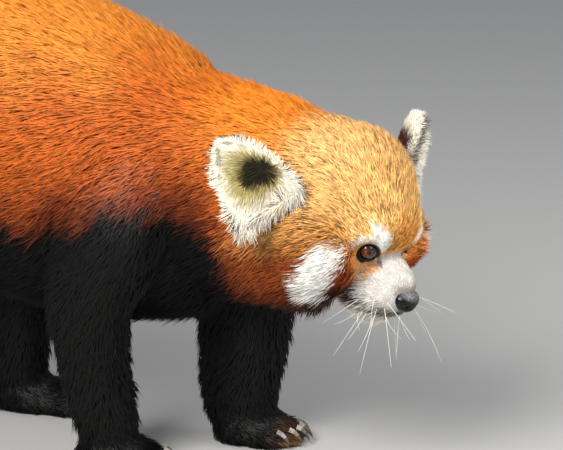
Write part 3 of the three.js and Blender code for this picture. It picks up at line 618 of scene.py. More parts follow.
# %% Parts, directions and depths over the skin
PARTS = ["trunk", "neck", "head", *LEGS, "tail", "ear_right", "ear_left"]
TUBES = {"trunk": TRUNK, "neck": NECK, "tail": tail_rows, **{k: np.array(v, float) for k, v in LEGS.items()}}


def by_axis(p, stations, samples=120):
    """For each point: the place on a tube's line nearest to it, the line's direction there, the angle round
    the line, and the gap, which is the distance from the line times one less one over the reach in half
    sizes."""
    t = np.linspace(0, 1, samples)
    rows = curve(stations, t)
    along = unit(np.gradient(rows[:, :3], axis=0))
    k = (-2 * p @ rows[:, :3].T + (rows[:, :3] ** 2).sum(1)).argmin(1)
    d, way = p - rows[k, :3], along[k]
    side = unit(np.array([0, 1.0, 0]) - way * way[:, 1:2])
    up = np.cross(way, side)
    wide, high, past = (d * side).sum(1), (d * up).sum(1), (d * way).sum(1)
    reach = np.hypot(wide / rows[k, 3], high / np.where(high > 0, rows[k, 4], rows[k, 5]))
    reach = np.hypot(reach, past / rows[k, 3]) + 1e-6
    return t[k], way, np.arctan2(high, wide), np.linalg.norm(d, axis=1) * (1 - 1 / reach)


def ear_places(h, ear):
    """For each point in the head's frame: how far the leaf is, and the nearest place on it and its face."""
    grid = np.stack(np.meshgrid(np.linspace(-1, 1, 29), np.linspace(0, 0.985, 29), [-1.0, 1.0],
                                indexing="ij"), -1).reshape(-1, 3)
    spots = ear_point(ear, grid[:, 0], grid[:, 1], grid[:, 2])
    near = np.linalg.norm(h - spots.mean(0), axis=1) < 60
    far, place = np.full(len(h), 99.0), np.zeros((len(h), 3))
    d2 = (h[near] ** 2).sum(1)[:, None] - 2 * h[near] @ spots.T + (spots**2).sum(1)
    k = d2.argmin(1)
    far[near], place[near] = np.sqrt(np.maximum(d2.min(1), 0)), grid[k]
    return far, place


def head_lay(h):
    """The way of the hair on the head: away from the nose, drawn downwards over the temples, cheeks and
    lips, away from the eyes where it would grow across them, and outwards at the foot of an ear."""
    away = h - NOSE_CENTRE
    at_lips = soft_step(-h[:, 2], 19, 26) * soft_step(h[:, 0], -4, 6)
    away[:, 2] -= 75 * soft_step(np.abs(h[:, 1]), 28, 54) + 16 * at_lips
    from_eye = h - EYE_CENTRE * np.where(h[:, 1:2] > 0, 1.0, [1.0, -1.0, 1.0])
    away = unit(away) + unit(from_eye) * (1.6 * fade(np.linalg.norm(from_eye, axis=1), 9, 17))[:, None]
    for ear in EARS.values():
        _, _, long, _, side = ear_axes(ear)
        away = mix(away, -side * ear["crown"] - 0.3 * long, 0.85 * fade(ear_foot(h, ear), 5, 13))
    return unit(away)


def ear_lay(ear, place):
    """The way of the hair on an ear: in the cup away from its dark middle, along the foot of the cup
    outwards and down, on the back up towards the tip, and near the rim outwards over it."""
    _, _, long, out, side = ear_axes(ear)
    u, w, facing = crownwards(ear, place)
    side = side * ear["crown"]
    inner = side * (1.0 * (u - EAR_DARK[0]))[:, None] + long * (1.2 * (w - EAR_DARK[1]))[:, None]
    foot = fade(w, 0.12, 0.42) * (1 - 0.6 * soft_step(u, 0.3, 0.9))
    inner = mix(unit(inner), -0.8 * side - 0.6 * long + 0.2 * out, foot)
    edge = soft_step(np.abs(u), 0.6, 0.95)
    outer = long * (1 - 0.6 * edge)[:, None] + side * (u * (0.5 + 0.8 * edge))[:, None]
    way = mix(outer, inner, (facing > 0).astype(float))
    rim = soft_step(np.abs(u), 0.86, 1.0) * soft_step(w, 0.1, 0.4)
    return unit(mix(way, long * 0.7 + out * 0.2 + side * (0.9 * u)[:, None], 0.7 * rim))


skin_at, skin_tri, skin_edges = mesh_arrays(joined)
skin_out = np.empty(len(skin_at) * 3, np.float32)
joined.vertex_normals.foreach_get("vector", skin_out)
skin_out = skin_out.reshape(-1, 3).astype(float)
skin_h = to_head(skin_at)


def tube_lay(name, along):
    """The way of the hair on a tube: back on the trunk and neck, and lower at their sides, back and down on
    a leg and forward over its paw, and along the tail."""
    sideways = np.abs(skin_out[:, 1])
    if name in ("trunk", "neck"):
        drop = 0.22 * sideways if name == "trunk" else 0.3 * sideways + 0.4 * (skin_out[:, 2] < -0.2)
        return np.stack([-np.ones_like(drop), 0 * drop, -0.1 - drop], 1)
    if "leg" in name:
        return mix(np.array([0.9, 0, -0.35]), along + [-0.3, 0, 0], soft_step(skin_at[:, 2], 14, 34))
    return along


gaps, ways, tube_place, leaf_place = [], [], {}, {}
for name in PARTS:
    if name == "head":
        gap, way = head_gap(skin_h), head_lay(skin_h) @ HEAD_AXES.T
    elif name.startswith("ear"):
        far, leaf_place[name] = ear_places(skin_h, EARS[name[4:]])
        gap = np.where(far < 2.0, -30.0, 40.0)
        way = ear_lay(EARS[name[4:]], leaf_place[name]) @ HEAD_AXES.T
    else:
        t, along, angle, gap = by_axis(skin_at, TUBES[name])
        tube_place[name] = (t, angle)
        way = tube_lay(name, along)
    gaps.append(gap)
    ways.append(way)
nearer = np.array(gaps) - np.min(gaps, axis=0)
weight = np.exp(-np.clip(nearer, 0, 60) / 5.0)
weight /= weight.sum(0)
skin_part = weight.argmax(0)
skin_lay = unit((np.array(ways) * weight[..., None]).sum(0))
on_ears = (skin_part >= PARTS.index("ear_right"))[:, None]
for passes in (10, 4):
    skin_lay = along_surface(skin_lay, skin_out)
    skin_lay = np.where(on_ears, skin_lay, spread(skin_lay, skin_edges, passes))
skin_lay = unit(along_surface(skin_lay, skin_out))
print("parts of the skin:", {n: int((skin_part == k).sum()) for k, n in enumerate(PARTS)})

# %% [markdown]
# ## The markings
# The same rule colours the skin and every tuft. It asks where a point is: how far above the line where the
# rust coat turns black, and on the head how near the muzzle, the brow spots, the tear stripe and the cheek
# patch. Smooth noise moves each border a little, because no marking on an animal has a clean edge.

# %% Colours of the coat
HAIR = {name: tint(code) for name, code in {
    # low and flank: partly the coat's own darker rust, partly painted shade on the lower flank
    "black": "#090909", "soot": "#241a16", "low": "#5e2711", "flank": "#a14c1b", "rust": "#c0601f",
    # crown and forehead: painted darker and brighter than the coat's own colour, as painted shade and
    # painted light
    "back": "#dd8a35", "neck": "#ee8c2c", "crown": "#ecb874", "forehead": "#ffca7c", "temple": "#d3964f",
    "red_cheek": "#96491f", "white": "#fefcf6", "cream": "#fffae8", "blaze": "#ffb052", "chin": "#f2ecdd",
    # tear_top: an orange painted brighter than the coat's own, as painted light in the eye's hollow
    "tear_top": "#ff9e4a", "tear": "#a84c1a", "tear_low": "#32180d", "under_eye": "#f8b87c",
    # muzzle: a white painted greyer than the cheek's, as painted shade against the strong light on it
    "muzzle": "#dad7d0", "lip_grey": "#77736c", "grey": "#9a9186", "maroon": "#4c2a26",
    "ear_dark": "#2a271b", "ear_olive": "#b9ad70", "ear_foot": "#d9d5c8",
    "ring_red": "#9a4717", "ring_buff": "#e0a765", "tail_tip": "#31180f",
}.items()}
# Where the black of the belly and legs ends: how far along the body, and how high
BLACK_BORDER = np.array([(-330, 150), (-285, 140), (-250, 138), (-200, 147), (-150, 150), (-80, 148),
                         (-57, 151), (-6, 163), (30, 166), (53, 156), (70, 130), (84, 116), (115, 107),
                         (150, 96)], float)
TAIL_RINGS = 7  # pale rings along the tail
MUZZLE_PATCH = np.array([(16, 0, -20), (24, 30, 27)])  # the white muzzle: its middle, then its half sizes
TEAR_LINE = [(-36, 33), (-12, 39), (-5, 39), (2, 35)]  # the tear stripe: height, and how far out it ends
SIDE_UP = np.array([-0.669, -0.113, 0.735])  # what is up when the lowered head is seen from its side


def paint(ground, *layers):
    """Colours laid over one another. Each layer is a colour or its name, and the share that covers what is
    below."""
    painted = HAIR[ground] if isinstance(ground, str) else ground
    for colour, share in layers:
        painted = mix(painted, HAIR[colour] if isinstance(colour, str) else colour, share)
    return painted


def body_colour(p):
    """Black under the border, then from dark rust over rust to gold with the height above it, brighter on
    the neck. The darker rust low on the flank is partly the coat's own colour and partly painted shade. The
    border dips and rises by smooth noise."""
    border = np.interp(p[:, 0], BLACK_BORDER[:, 0], BLACK_BORDER[:, 1])
    above = p[:, 2] - border + 5 * ripple(p, 34, 1) + 2.5 * ripple(p, 9, 2)
    # Low on the flank the rust darkens: partly its own colour, partly painted shade.
    return paint("black",
                 ("low", soft_step(above, -3, 7)),
                 ("flank", soft_step(above, 4, 34)),
                 ("rust", soft_step(above, 20, 58)),
                 ("back", soft_step(above + 10 * ripple(p, 60, 3), 62, 130)),
                 ("neck", 0.85 * soft_step(p[:, 0], 10, 70) * soft_step(above, 30, 90)))


def head_ground(x, y, rise):
    """Gold on the forehead, paler on the crown, tawny at the temples, and red-brown to dark low behind the
    cheeks. The crown is painted darker and the forehead brighter than the coat's own colour: painted shade
    and painted light that even out how the lamps fall on them."""
    # The crown is painted darker and the forehead brighter: painted shade and painted light that even out
    # the lamps.
    return paint("forehead",
                 ("crown", soft_step(-x, 2, 45)),
                 ("temple", soft_step(y, 34, 52) * fade(rise, 8, 34)),
                 ("neck", soft_step(-x, 66, 118)),
                 ("red_cheek", fade(rise, -10, 12) * soft_step(-x, 4, 26)),
                 ("low", fade(rise, -38, -14) * soft_step(-x, 0, 20)))


def cheek_patch(x, y, z):
    """The share of the white cheek: a patch whose upper edge falls outwards."""
    return soft_step(x, -21, -16) * soft_step(z, -47, -42) * fade(z + 0.45 * (y - 47), 0, 6)


def face_marks(ground, x, y, z):
    """The white cheek, the tear stripe, which darkens downwards, the white brow spot with the arc that
    trails from it, and the orange blaze, which reaches the inner corners of the eyes. The stripe's top is
    painted brighter than its own orange: painted light against the shade of the eye's hollow."""
    stripe_y = np.interp(z, *np.transpose(TEAR_LINE))
    stripe = fade(y - stripe_y, 8.5, 11) * soft_step(y, 15, 22) * soft_step(x, -20, -13)
    # The top of the stripe is painted brighter: painted light against the shade of the eye's hollow.
    tear = paint("tear_low", ("tear", soft_step(z, -32, -14)),
                 ("tear_top", soft_step(z + 0.4 * (stripe_y - y), -14, -4)))
    brow = np.hypot((y - 19.6 - 0.25 * (z - 12)) / 6.6, (z - 11) / 9.5)
    arc = np.hypot((y - 30) / 10.5, (z - 9.0 + 0.53 * (y - 30)) / 2.9)
    blaze = fade(y, 9, 15) * soft_step(x, -14, 0) * fade(z, 18, 36)
    inner_corner = fade(np.hypot((y - 12.5) / 4.5, (z - 5) / 6), 0.6, 1.2)
    return paint(ground,
                 ("white", cheek_patch(x, y, z) * soft_step(y, 40, 45)),
                 (tear, stripe * fade(z - 0.35 * (y - 30), -4, 3)),
                 ("white", fade(brow, 0.85, 1.15) * soft_step(x, -20, -12)),
                 ("white", 0.8 * fade(arc, 0.8, 1.25) * soft_step(x, -20, -12)),
                 (paint("blaze", ("flank", 0.2 * inner_corner)), 0.9 * np.maximum(blaze, inner_corner)))


def muzzle_marks(ground, x, y, z, rise):
    """The white muzzle, the pale band under the eye, the chin, the dark throat, the grey lips and their dark
    seam. The muzzle's white is painted greyer than the cheek's: painted shade that holds back the strong
    light on it."""
    muzzle = np.linalg.norm((np.stack([x, y, z], 1) - MUZZLE_PATCH[0]) / MUZZLE_PATCH[1], axis=1)
    under = soft_step(z + 7 + 0.8 * (y - 12.5), -3.5, -0.5) * fade(z, -5, 0)
    under = under * band(x, (-8, -4), (4, 6.5)) * band(y, (12, 14.5), (25, 33))
    chin = fade(z, -36, -30) * soft_step(x, -6, 3) * fade(y, 14, 22)
    throat = fade(rise, -38, -27) * fade(x, -2, 9) * (1 - cheek_patch(x, y, z) * soft_step(y, 38, 42))
    lip = fade(np.abs(z + 27 + 0.1 * (26 - x)), 1.5, 5) * soft_step(x, 14, 24)
    seam = band(-z - 0.12 * (26 - x), (28, 29), (31, 32.5)) * soft_step(x, 0, 8)
    return paint(ground,
                 # The muzzle's greyer white is painted shade against the strong light on it.
                 ("muzzle", fade(muzzle, 0.93, 1.05)),
                 ("under_eye", under),
                 ("chin", 0.9 * chin),
                 ("soot", 0.92 * throat),
                 ("lip_grey", 0.6 * lip),
                 ("soot", 0.85 * seam))


def head_colour(h, p):
    """The ground and the marks of the face over it, then grey beside the nose, black round the eye and soot
    at its inner corner."""
    spot = one_side(h) + 1.2 * ripples(p, 11, 4)
    x, y, z = spot.T
    rise = spot @ SIDE_UP
    colour = muzzle_marks(face_marks(head_ground(x, y, rise), x, y, z), x, y, z, rise)
    beside_nose = np.linalg.norm(one_side(h) - NOSE_CENTRE - [-3, 0, 0], axis=1)
    canthus = np.hypot((y - 12.4 - 0.35 * (z + 4)) / 1.6, (z + 3.6) / 3.0)
    return paint(colour,
                 ("grey", 0.8 * fade(beside_nose, 10, 14) * soft_step(z, -18, -12)),
                 ("black", 0.95 * fade(eye_distance(h), 8.8, 10.2)),
                 ("soot", 0.85 * fade(canthus, 0.7, 1.3) * band(x, (0, 3), (5, 6.5))))


def tail_colour(p, place):
    """Red and buff rings along the tail: the sine of the place times the count of rings, sharpened, with a
    red root and a dark tip."""
    phase = np.sin(2 * np.pi * (TAIL_RINGS * place + 0.08 * ripple(p, 40, 8)) + 0.6)
    return paint("ring_red",
                 ("ring_buff", soft_step(phase, -0.25, 0.45) * soft_step(place, 0.04, 0.16)),
                 ("tail_tip", soft_step(place, 0.9, 0.97)))


def ear_colour(ear, place):
    """Cream, with a dark middle in the cup that fades through olive, greyer at its foot, and a maroon patch
    low on the back, towards the crown."""
    u, w, facing = crownwards(ear, place)
    across, along = u - EAR_DARK[0], w - EAR_DARK[1]
    inwards, outwards = ear["dark"]
    cup = np.hypot(across / np.where(across > 0, inwards, outwards), along / np.where(along > 0, 0.2, 0.13))
    paling = soft_step(-across, 0, 0.3)
    inner = paint("ear_dark",
                  ("ear_olive", soft_step(cup, 0.55, 1.05)),
                  ("cream", soft_step(cup, 0.85 + 0.2 * paling, 1.6 + 0.9 * paling)),
                  ("ear_foot", fade(w, 0.1, 0.34) * soft_step(cup, 0.8, 1.3)))
    patch = np.hypot((u - 0.25) / 0.8, (w - 0.05) / 0.62)
    back = paint("maroon", ("cream", soft_step(patch, 0.75, 1.1)))
    return mix(back, inner, (facing > 0).astype(float))


def coat_colour(p, part, place, ear_place):
    """The colour of the coat at points of the skin. part is the index of the part that each point belongs
    to."""
    h = to_head(p)
    headward = soft_step(h[:, 0] + 0.35 * h[:, 2], -104, -66) * (p[:, 0] > 60)
    colour = paint(body_colour(p), (head_colour(h, p), headward))
    for ear in EARS.values():
        colour = paint(colour, ("cream", fade(ear_foot(h, ear) + 2.0 * ripple(p, 9, 9), 7, 12)))
    for k, name in enumerate(PARTS):
        here = part == k
        if name == "tail":
            colour[here] = tail_colour(p[here], place[here])
        elif name.startswith("ear"):
            colour[here] = ear_colour(EARS[name[4:]], ear_place[here])
    return colour


# %% [markdown]
# ## Finishes
# Fur is hair of keratin: half rough, with a weak gloss, and a colour that each tuft carries in its mesh
# from a dark root to a light tip. The nose is bare wet leather, the eye is a wet ball, the claws are horn.

# %% Materials
def node(tree, kind, inputs=None, **settings):
    """Adds a node, sets its properties, and fills its inputs with values or links from other sockets."""
    made = tree.nodes.new(kind)
    for key, value in settings.items():
        setattr(made, key, value)
    for key, value in (inputs or {}).items():
        socket = made.inputs[key]
        if isinstance(value, bpy.types.NodeSocket):
            tree.links.new(value, socket)
        else:
            socket.default_value = value
    return made


def finish(name, roughness, specular=0.5, coat=0.0, coat_rough=0.03, colour=None, layer=None):
    """A Principled material, its tree and its shader node. Its colour is one linear colour, or a layer of
    colours that the mesh carries."""
    material = bpy.data.materials.new(name)
    material.use_nodes = True
    tree = material.node_tree
    shader = tree.nodes["Principled BSDF"]
    for socket, value in {"Roughness": roughness, "Specular IOR Level": specular, "Coat Weight": coat,
                          "Coat Roughness": coat_rough}.items():
        shader.inputs[socket].default_value = value
    if colour is not None:
        shader.inputs["Base Color"].default_value = (*colour, 1)
    if layer:
        carried = node(tree, "ShaderNodeVertexColor", layer_name=layer)
        tree.links.new(carried.outputs["Color"], shader.inputs["Base Color"])
    return material, tree, shader


def bumped(tree, shader, scale, distance, strength, detail=3.0, stretch=(1, 1, 1)):
    """Noise on Object coordinates as fine relief. scale is in waves per metre, distance the height in
    metres."""
    where = node(tree, "ShaderNodeTexCoord")
    mapped = node(tree, "ShaderNodeMapping", {"Vector": where.outputs["Object"], "Scale": stretch})
    noise = node(tree, "ShaderNodeTexNoise", {"Vector": mapped.outputs["Vector"], "Scale": scale,
                                              "Detail": detail})
    bump = node(tree, "ShaderNodeBump", {"Height": noise.outputs["Fac"], "Strength": strength,
                                         "Distance": distance})
    tree.links.new(bump.outputs["Normal"], shader.inputs["Normal"])
    return noise


def fur(name, roughness, specular, vary=0.25):
    """Hair that takes its colour from the mesh. Noise of 4 mm makes some strands lighter than others."""
    material, tree, shader = finish(name, roughness, specular)
    coat = node(tree, "ShaderNodeVertexColor", layer_name="coat")
    where = node(tree, "ShaderNodeTexCoord")
    noise = node(tree, "ShaderNodeTexNoise", {"Vector": where.outputs["Object"], "Scale": 250.0,
                                              "Detail": 2.0})
    share = node(tree, "ShaderNodeMapRange", {"Value": noise.outputs["Fac"], "From Min": 0.3,
                                              "From Max": 0.7, "To Min": 1 - vary, "To Max": 1 + vary})
    colour = node(tree, "ShaderNodeVectorMath", {"Vector": coat.outputs["Color"],
                                                 "Scale": share.outputs["Result"]}, operation="SCALE")
    tree.links.new(colour.outputs["Vector"], shader.inputs["Base Color"])
    return material


# Guard hair is smooth keratin. Its scales scatter most of the light, so a coat looks half dull, with a soft
# gloss that follows the lay. Black hair shows its gloss most, and an ear's fine hair looks dullest.
FUR = {
    "rust_coat": fur("rust_guard_hair", 0.6, 0.14),
    "face_coat": fur("short_face_hair", 0.65, 0.14, vary=0.15),
    "black_coat": fur("black_guard_hair", 0.45, 0.2),
    "tail_coat": fur("tail_brush_hair", 0.6, 0.14),
    "ear_coat": fur("ear_hair", 0.7, 0.12, vary=0.08),
}
# Underfur is fine and matted, so it is almost without gloss. It is seen only between tufts, and its colour,
# the coat's at 0.7, is painted shade between them.
hide, tree, shader = finish("short_underfur", 0.85, 0.15, layer="coat")
bumped(tree, shader, 900.0, 0.0012, 0.8)
print("finishes:", ", ".join(m.name for m in bpy.data.materials))

# %% [markdown]
# ## The coat
# A tuft is a thin, flat, closed spike with three corners to its section. It leaves the skin at an angle,
# bends over and lies along the way of the hair. All tufts of a piece are computed at once as arrays. Each
# one also gets a small patch of a UV map, at the place of its root on an unwrap of the skin, for baking its
# colour.

# %% How long, wide and steep the hair is
SEEN_PER_MM2, UNSEEN_PER_MM2 = 1.0, 0.2
PATCH = 0.003  # of the UV square, for one tuft


def head_hair(h):
    """Shortest by the nose and eyes, longer on the cheeks, and longest at the chin, lips, jaw and foot of
    the ears."""
    far, (x, _, z), rise = np.linalg.norm(h - NOSE_CENTRE, axis=1), h.T, one_side(h) @ SIDE_UP
    reach = soft_step(far, 8, 75)
    chin = fade(z, -34, -24) * soft_step(x, -16, -4)
    lip = band(z, (-31, -27), (-26, -20)) * soft_step(x, 0, 8)
    jaw = soft_step(-rise, 22, 36) * fade(x, 6, 16) * (1 - chin)
    foot = fade(np.min([ear_foot(h, ear) for ear in EARS.values()], axis=0), 6, 14)
    length = (1.8 + 8.7 * reach) * (0.35 + 0.65 * soft_step(eye_distance(h), 9, 20))
    length = (length + 6.5 * chin + 6.0 * lip + 7.0 * jaw) * (1 - 0.3 * soft_step(rise, 22, 45)) + 4.0 * foot
    return length, 0.17 + 0.16 * reach, 38 + 12 * chin + 14 * jaw, 3.7 - 2.2 * soft_step(far, 15, 65)


def leg_hair(p):
    """12 mm long, and shorter and finer over the paws."""
    foot = fade(p[:, 2], 16, 46)
    return 12 - 4 * foot, 0.5 - 0.1 * foot, 40, 0.55


def tail_hair(place):
    """Long enough to reach from the flesh to the outline of the brush at its lean, and shorter at the
    tip."""
    radius = np.interp(place, np.linspace(0, 1, len(TAIL)), TAIL[:, 3] * (1 - TAIL_FLESH))
    return (20 + radius) * (1 - 0.4 * soft_step(place, 0.82, 1)), 1.0, 48, 0.3


def ear_hair(ear, place):
    """Shorter at the rim and the tip, longer at the foot of the cup, and longest at its lower outer
    corner."""
    across, along, facing = crownwards(ear, place)
    rim = np.maximum(soft_step(np.abs(across), 0.7, 1.0), soft_step(along, 0.75, 1))
    corner = soft_step(-across, 0.2, 0.9) * fade(along, 0.1, 0.45)
    foot = fade(along, 0.1, 0.35) * (1 - corner)
    length = np.where(facing > 0, 8.5 + 4.0 * foot, 7.0) - 3.0 * rim + 5.0 * corner
    return length, 0.22, 38, 3.4


def hair_sizes(p, h, part, ear_place, place):
    """Length, half width and root angle of the tufts at points of the skin, and how many grow on each
    square millimetre."""
    sizes = np.zeros((4, len(p)))
    for k, name in enumerate(PARTS):
        here = part == k
        if name == "trunk":
            found = (17.0, 0.5, 42, 0.66)
        elif name == "neck":
            found = (14.0, 0.45, 44, 0.8)
        elif name == "head":
            found = head_hair(h[here])
        elif "leg" in name:
            found = leg_hair(p[here])
        elif name == "tail":
            found = tail_hair(place[here])
        else:
            found = ear_hair(EARS[name[4:]], ear_place[here])
        for row, value in zip(sizes, found):
            row[here] = value
    return sizes


# %% One piece of the coat
SKIN_LIT = 0.6  # how far a tuft is lit as the skin under it, which keeps the coat from looking like straw


def spike_faces(bends):
    """The triangles of one closed spike: a cap at the root, a strip of six for each bend, and three at the
    tip."""
    faces = [(0, 1, 2)]
    for n in range(bends - 1):
        for a, b in ((0, 1), (1, 2), (2, 0)):
            a, b, c, d = 3 * n + a, 3 * n + b, 3 * n + 3 + b, 3 * n + 3 + a
            faces += [(a, c, b), (a, d, c)]
    top = 3 * (bends - 1)
    faces += [(top + 1, top, top + 3), (top + 2, top + 1, top + 3), (top, top + 2, top + 3)]
    return np.array(faces)


def tufts(name, grown, slot, draw, bends=2, sink=0.18):
    """Closed spikes as one mesh. Along a spike of n bends the angle from the skin falls from lean to a
    fifth of it, and each ring of three points stands across the spike: two at its sides and one on its
    back. Rings: root to the last bend, then one point for the tip. Colours run from low at the root to high
    at the tip."""
    root, out, lay, length, wide, lean, low, high, uv, shade = grown.values()
    count = len(root)
    side = unit(np.cross(lay, out))
    drift = draw.normal(0, 0.14, count)[:, None]
    spine = [root - out * (sink * length + 0.3)[:, None]]
    for n in range(bends):
        t = (n + 0.5) / bends
        angle = np.radians(lean * (1 - 0.8 * t))[:, None]
        along = np.cos(angle) * lay + np.sin(angle) * out + drift * (t * 1.4) * side
        spine.append(spine[-1] + along * (length / bends)[:, None] * (1.25 if n == 0 else 1.0))
    rings = []
    for n in range(bends):
        w = (wide * (0.8, 1.0, 0.7)[n])[:, None]
        rings += [spine[n] - side * w, spine[n] + side * w, spine[n] + out * (w * 0.8)]
    points = np.stack([*rings, spine[-1]], 1)
    points[..., 2] = np.maximum(points[..., 2], 0.15)
    faces = spike_faces(bends)[None] + (np.arange(count) * points.shape[1])[:, None, None]
    obj = piece(name, points.reshape(-1, 3), faces.reshape(-1, 3), FUR[slot])
    t = np.append(np.repeat(np.arange(bends) / bends, 3), 1.0)
    add_colours(obj, mix(low[:, None], high[:, None], t[None]).reshape(-1, 3))
    across = np.append(np.tile([-0.5, 0.5, 0.0], bends), 0.0)
    patch = uv[:, None] + PATCH * np.stack([across, t - 0.5], 1)[None]
    layer = obj.data.uv_layers.new(name="OFBake")
    layer.data.foreach_set("uv", patch.reshape(-1, 2)[faces.ravel()].astype(np.float32).ravel())
    leaning = np.stack([*(-side, side, out) * bends, out], 1)
    normals = unit(SKIN_LIT * shade[:, None] + (1 - SKIN_LIT) * leaning)
    obj.data.normals_split_custom_set_from_vertices(normals.reshape(-1, 3).astype(np.float32))
    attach(obj, "root")
    return obj


# %% Fields over the skin that the tufts take over
VIEW_MARGIN = 12  # pixels round the picture that are sown as densely as what is in it
WIDEST_FACE_HAIR = 0.55
# No hair grows nearer than this to the eye's middle and the nose's edge, lower on the soles or further on
# the tail.
EYE_BARE, NOSE_BARE, SOLE_BARE, TIP_BARE = 9.2, 0.6, 0.6, 0.995
on_tail = skin_part == PARTS.index("tail")
skin_place = np.where(on_tail, tube_place["tail"][0], 0.0)
skin_ear = np.zeros((len(skin_at), 3))
for name, place in leaf_place.items():
    here = skin_part == PARTS.index(name)
    skin_ear[here] = place[here]
length, wide, lean, dense = hair_sizes(skin_at, skin_h, skin_part, skin_ear, skin_place)
pixel = in_picture(skin_at)
in_view = ((pixel > -VIEW_MARGIN) & (pixel < np.array(IMAGE) + VIEW_MARGIN)).all(1)
seen = spread((in_view & (skin_out @ -cam_ahead > -0.25)).astype(float), skin_edges, 6)[:, 0]
rate = np.where(on_tail, 1.0, UNSEEN_PER_MM2 + (SEEN_PER_MM2 - UNSEEN_PER_MM2) * seen)
wide *= np.where(on_tail, 1.0, 1 / np.sqrt(rate / SEEN_PER_MM2))
on_head = on_ears[:, 0] | (skin_part == PARTS.index("head"))
wide = np.where(on_head, np.minimum(wide, WIDEST_FACE_HAIR), wide)
bare = eye_distance(skin_h) < EYE_BARE
bare |= np.linalg.norm((skin_h - NOSE_CENTRE) / (NOSE_SIZE + NOSE_BARE), axis=1) < 1
bare |= (skin_at[:, 2] < SOLE_BARE) | (skin_place > TIP_BARE)
corner_a, corner_b, corner_c = (skin_at[skin_tri[:, n]] for n in range(3))
area = np.linalg.norm(np.cross(corner_b - corner_a, corner_c - corner_a), axis=1) / 2
crop = area * (rate * dense * ~bare)[skin_tri].mean(1)
print("skin of", round(area.sum() / 1e6, 3), "square metres,", int(crop.sum()), "tufts")

# The skin takes the coat's colour at 0.7: painted shade, for the shade that the tufts cast between them.
add_colours(skin, 0.7 * coat_colour(skin_at, skin_part, skin_place, skin_ear))
skin.data.materials.clear()
skin.data.materials.append(hide)
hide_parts("torso", "neck", "head", "ear_right", "ear_left", "tail", *LEGS, *PAWS)
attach(skin, "root")


# %% Sow the coat
HAIR_ROOT = np.array([[0.42, 0.28, 0.16], [0.6, 0.5, 0.4]])  # a root's share of its tuft's colour
TAIL_LENGTH = 470.0
TUFT_TRIANGLES = {2: 10, 3: 16}  # by the number of bends
TUFTS_A_PIECE = {2: 19400, 3: 12200}  # so that no piece passes 200,000 triangles
GROUPS = {  # the pieces of the coat: the parts that they grow on, the slot of their finish, and the bends
    "coat_head": (["head"], "face_coat", 2), "coat_ears": (["ear_right", "ear_left"], "ear_coat", 2),
    "coat_neck": (["neck"], "rust_coat", 2), "coat_trunk": (["trunk"], "rust_coat", 2),
    "coat_forelegs": (["foreleg_right", "foreleg_left"], "black_coat", 2),
    "coat_hindlegs": (["hindleg_right", "hindleg_left"], "black_coat", 2),
    "coat_tail": (["tail"], "tail_coat", 3),
}


def pick_roots(names, draw):
    """Triangles of some parts, each as often as its crop asks, and a random point on each: the weights of
    its corners are 1 - a, a (1 - b) and a b, where a is the square root of one random number and b is
    another."""
    mine = np.isin(skin_part[skin_tri[:, 0]], [PARTS.index(n) for n in names])
    heap = np.cumsum(np.where(mine, crop, 0))
    count = int(heap[-1])
    picked = np.searchsorted(heap, (np.arange(count) + draw.uniform(0, 1, count)) * heap[-1] / count)
    a, b = np.sqrt(draw.uniform(0, 1, count)), draw.uniform(0, 1, count)
    return skin_tri[np.minimum(picked, len(skin_tri) - 1)], np.stack([1 - a, a * (1 - b), a * b], 1)


def tuft_colours(group, root, out, lay, size, part, place, ear_place, draw):
    """A tuft has the coat's colour at a point near its tip that strays a little, made lighter or darker at
    random and by smooth noise. On the head some golden tufts are dark. A root is darker than its tip, and
    least so in white hair. A tuft of the tail takes two colours from the rings that it reaches over."""
    count = len(root)
    stray = (draw.normal(0, 0.1, (count, 3)) + lay * draw.normal(0, 0.22, (count, 1))) * size[:, None]
    base = coat_colour(root + lay * (0.7 * size)[:, None] + out * 2 + stray, part, place, ear_place)
    tone = 1 + 0.14 * draw.normal(0, 1, count) + 0.1 * ripple(root, 6, 39)
    pale = base.min(1).clip(0, 0.8)
    if group == "coat_head":
        h, golden = to_head(root), pale < 0.4
        tone += 0.14 * draw.normal(0, 1, count) * golden
        dark_share = 0.18 + 0.2 * fade(one_side(h) @ SIDE_UP, 14, 34) * soft_step(-h[:, 0], -4, 12)
        tone *= np.where(draw.uniform(0, 1, count) < dark_share * golden, 0.38, 1 + 0.1 * golden)
    tone = tone.clip(0.35, 1.6)[:, None]
    if group == "coat_tail":
        low, high = (tail_colour(root, np.clip(place + f * size / TAIL_LENGTH, 0, 1)) for f in (0.4, 1.0))
        return low * tone * 0.7, high * tone
    root_share = mix(HAIR_ROOT[int(group != "coat_head")], np.ones(3), pale)
    return base * tone * root_share, base * tone * 1.12


def unwrapped(name, p, corner, ear_place):
    """Where roots lie on an unwrap of the skin: trunk, neck and legs rolled off round their lines, the head
    and muzzle opened from the nose, the tail along its length, each ear as its leaf."""
    if name == "head":
        h = to_head(p)
        uv = np.stack([np.arctan2(h[:, 1], -h[:, 2]) / (2 * np.pi) + 0.5, (40 - h[:, 0]) / 130], 1)
    elif name.startswith("ear"):
        uv = np.stack([(ear_place[:, 0] + 1) / 4 + 0.5 * (ear_place[:, 2] > 0), ear_place[:, 1]], 1)
    elif name == "trunk":
        uv = np.stack([np.arctan2(p[:, 1], 190 - p[:, 2]) / (2 * np.pi) + 0.5, (p[:, 0] + 320) / 400], 1)
    else:
        place, angle = (field[corner] for field in tube_place[name])
        uv = np.stack([angle / (2 * np.pi) + 0.5, place], 1)
    return 0.01 + 0.98 * np.clip(uv, 0, 1)


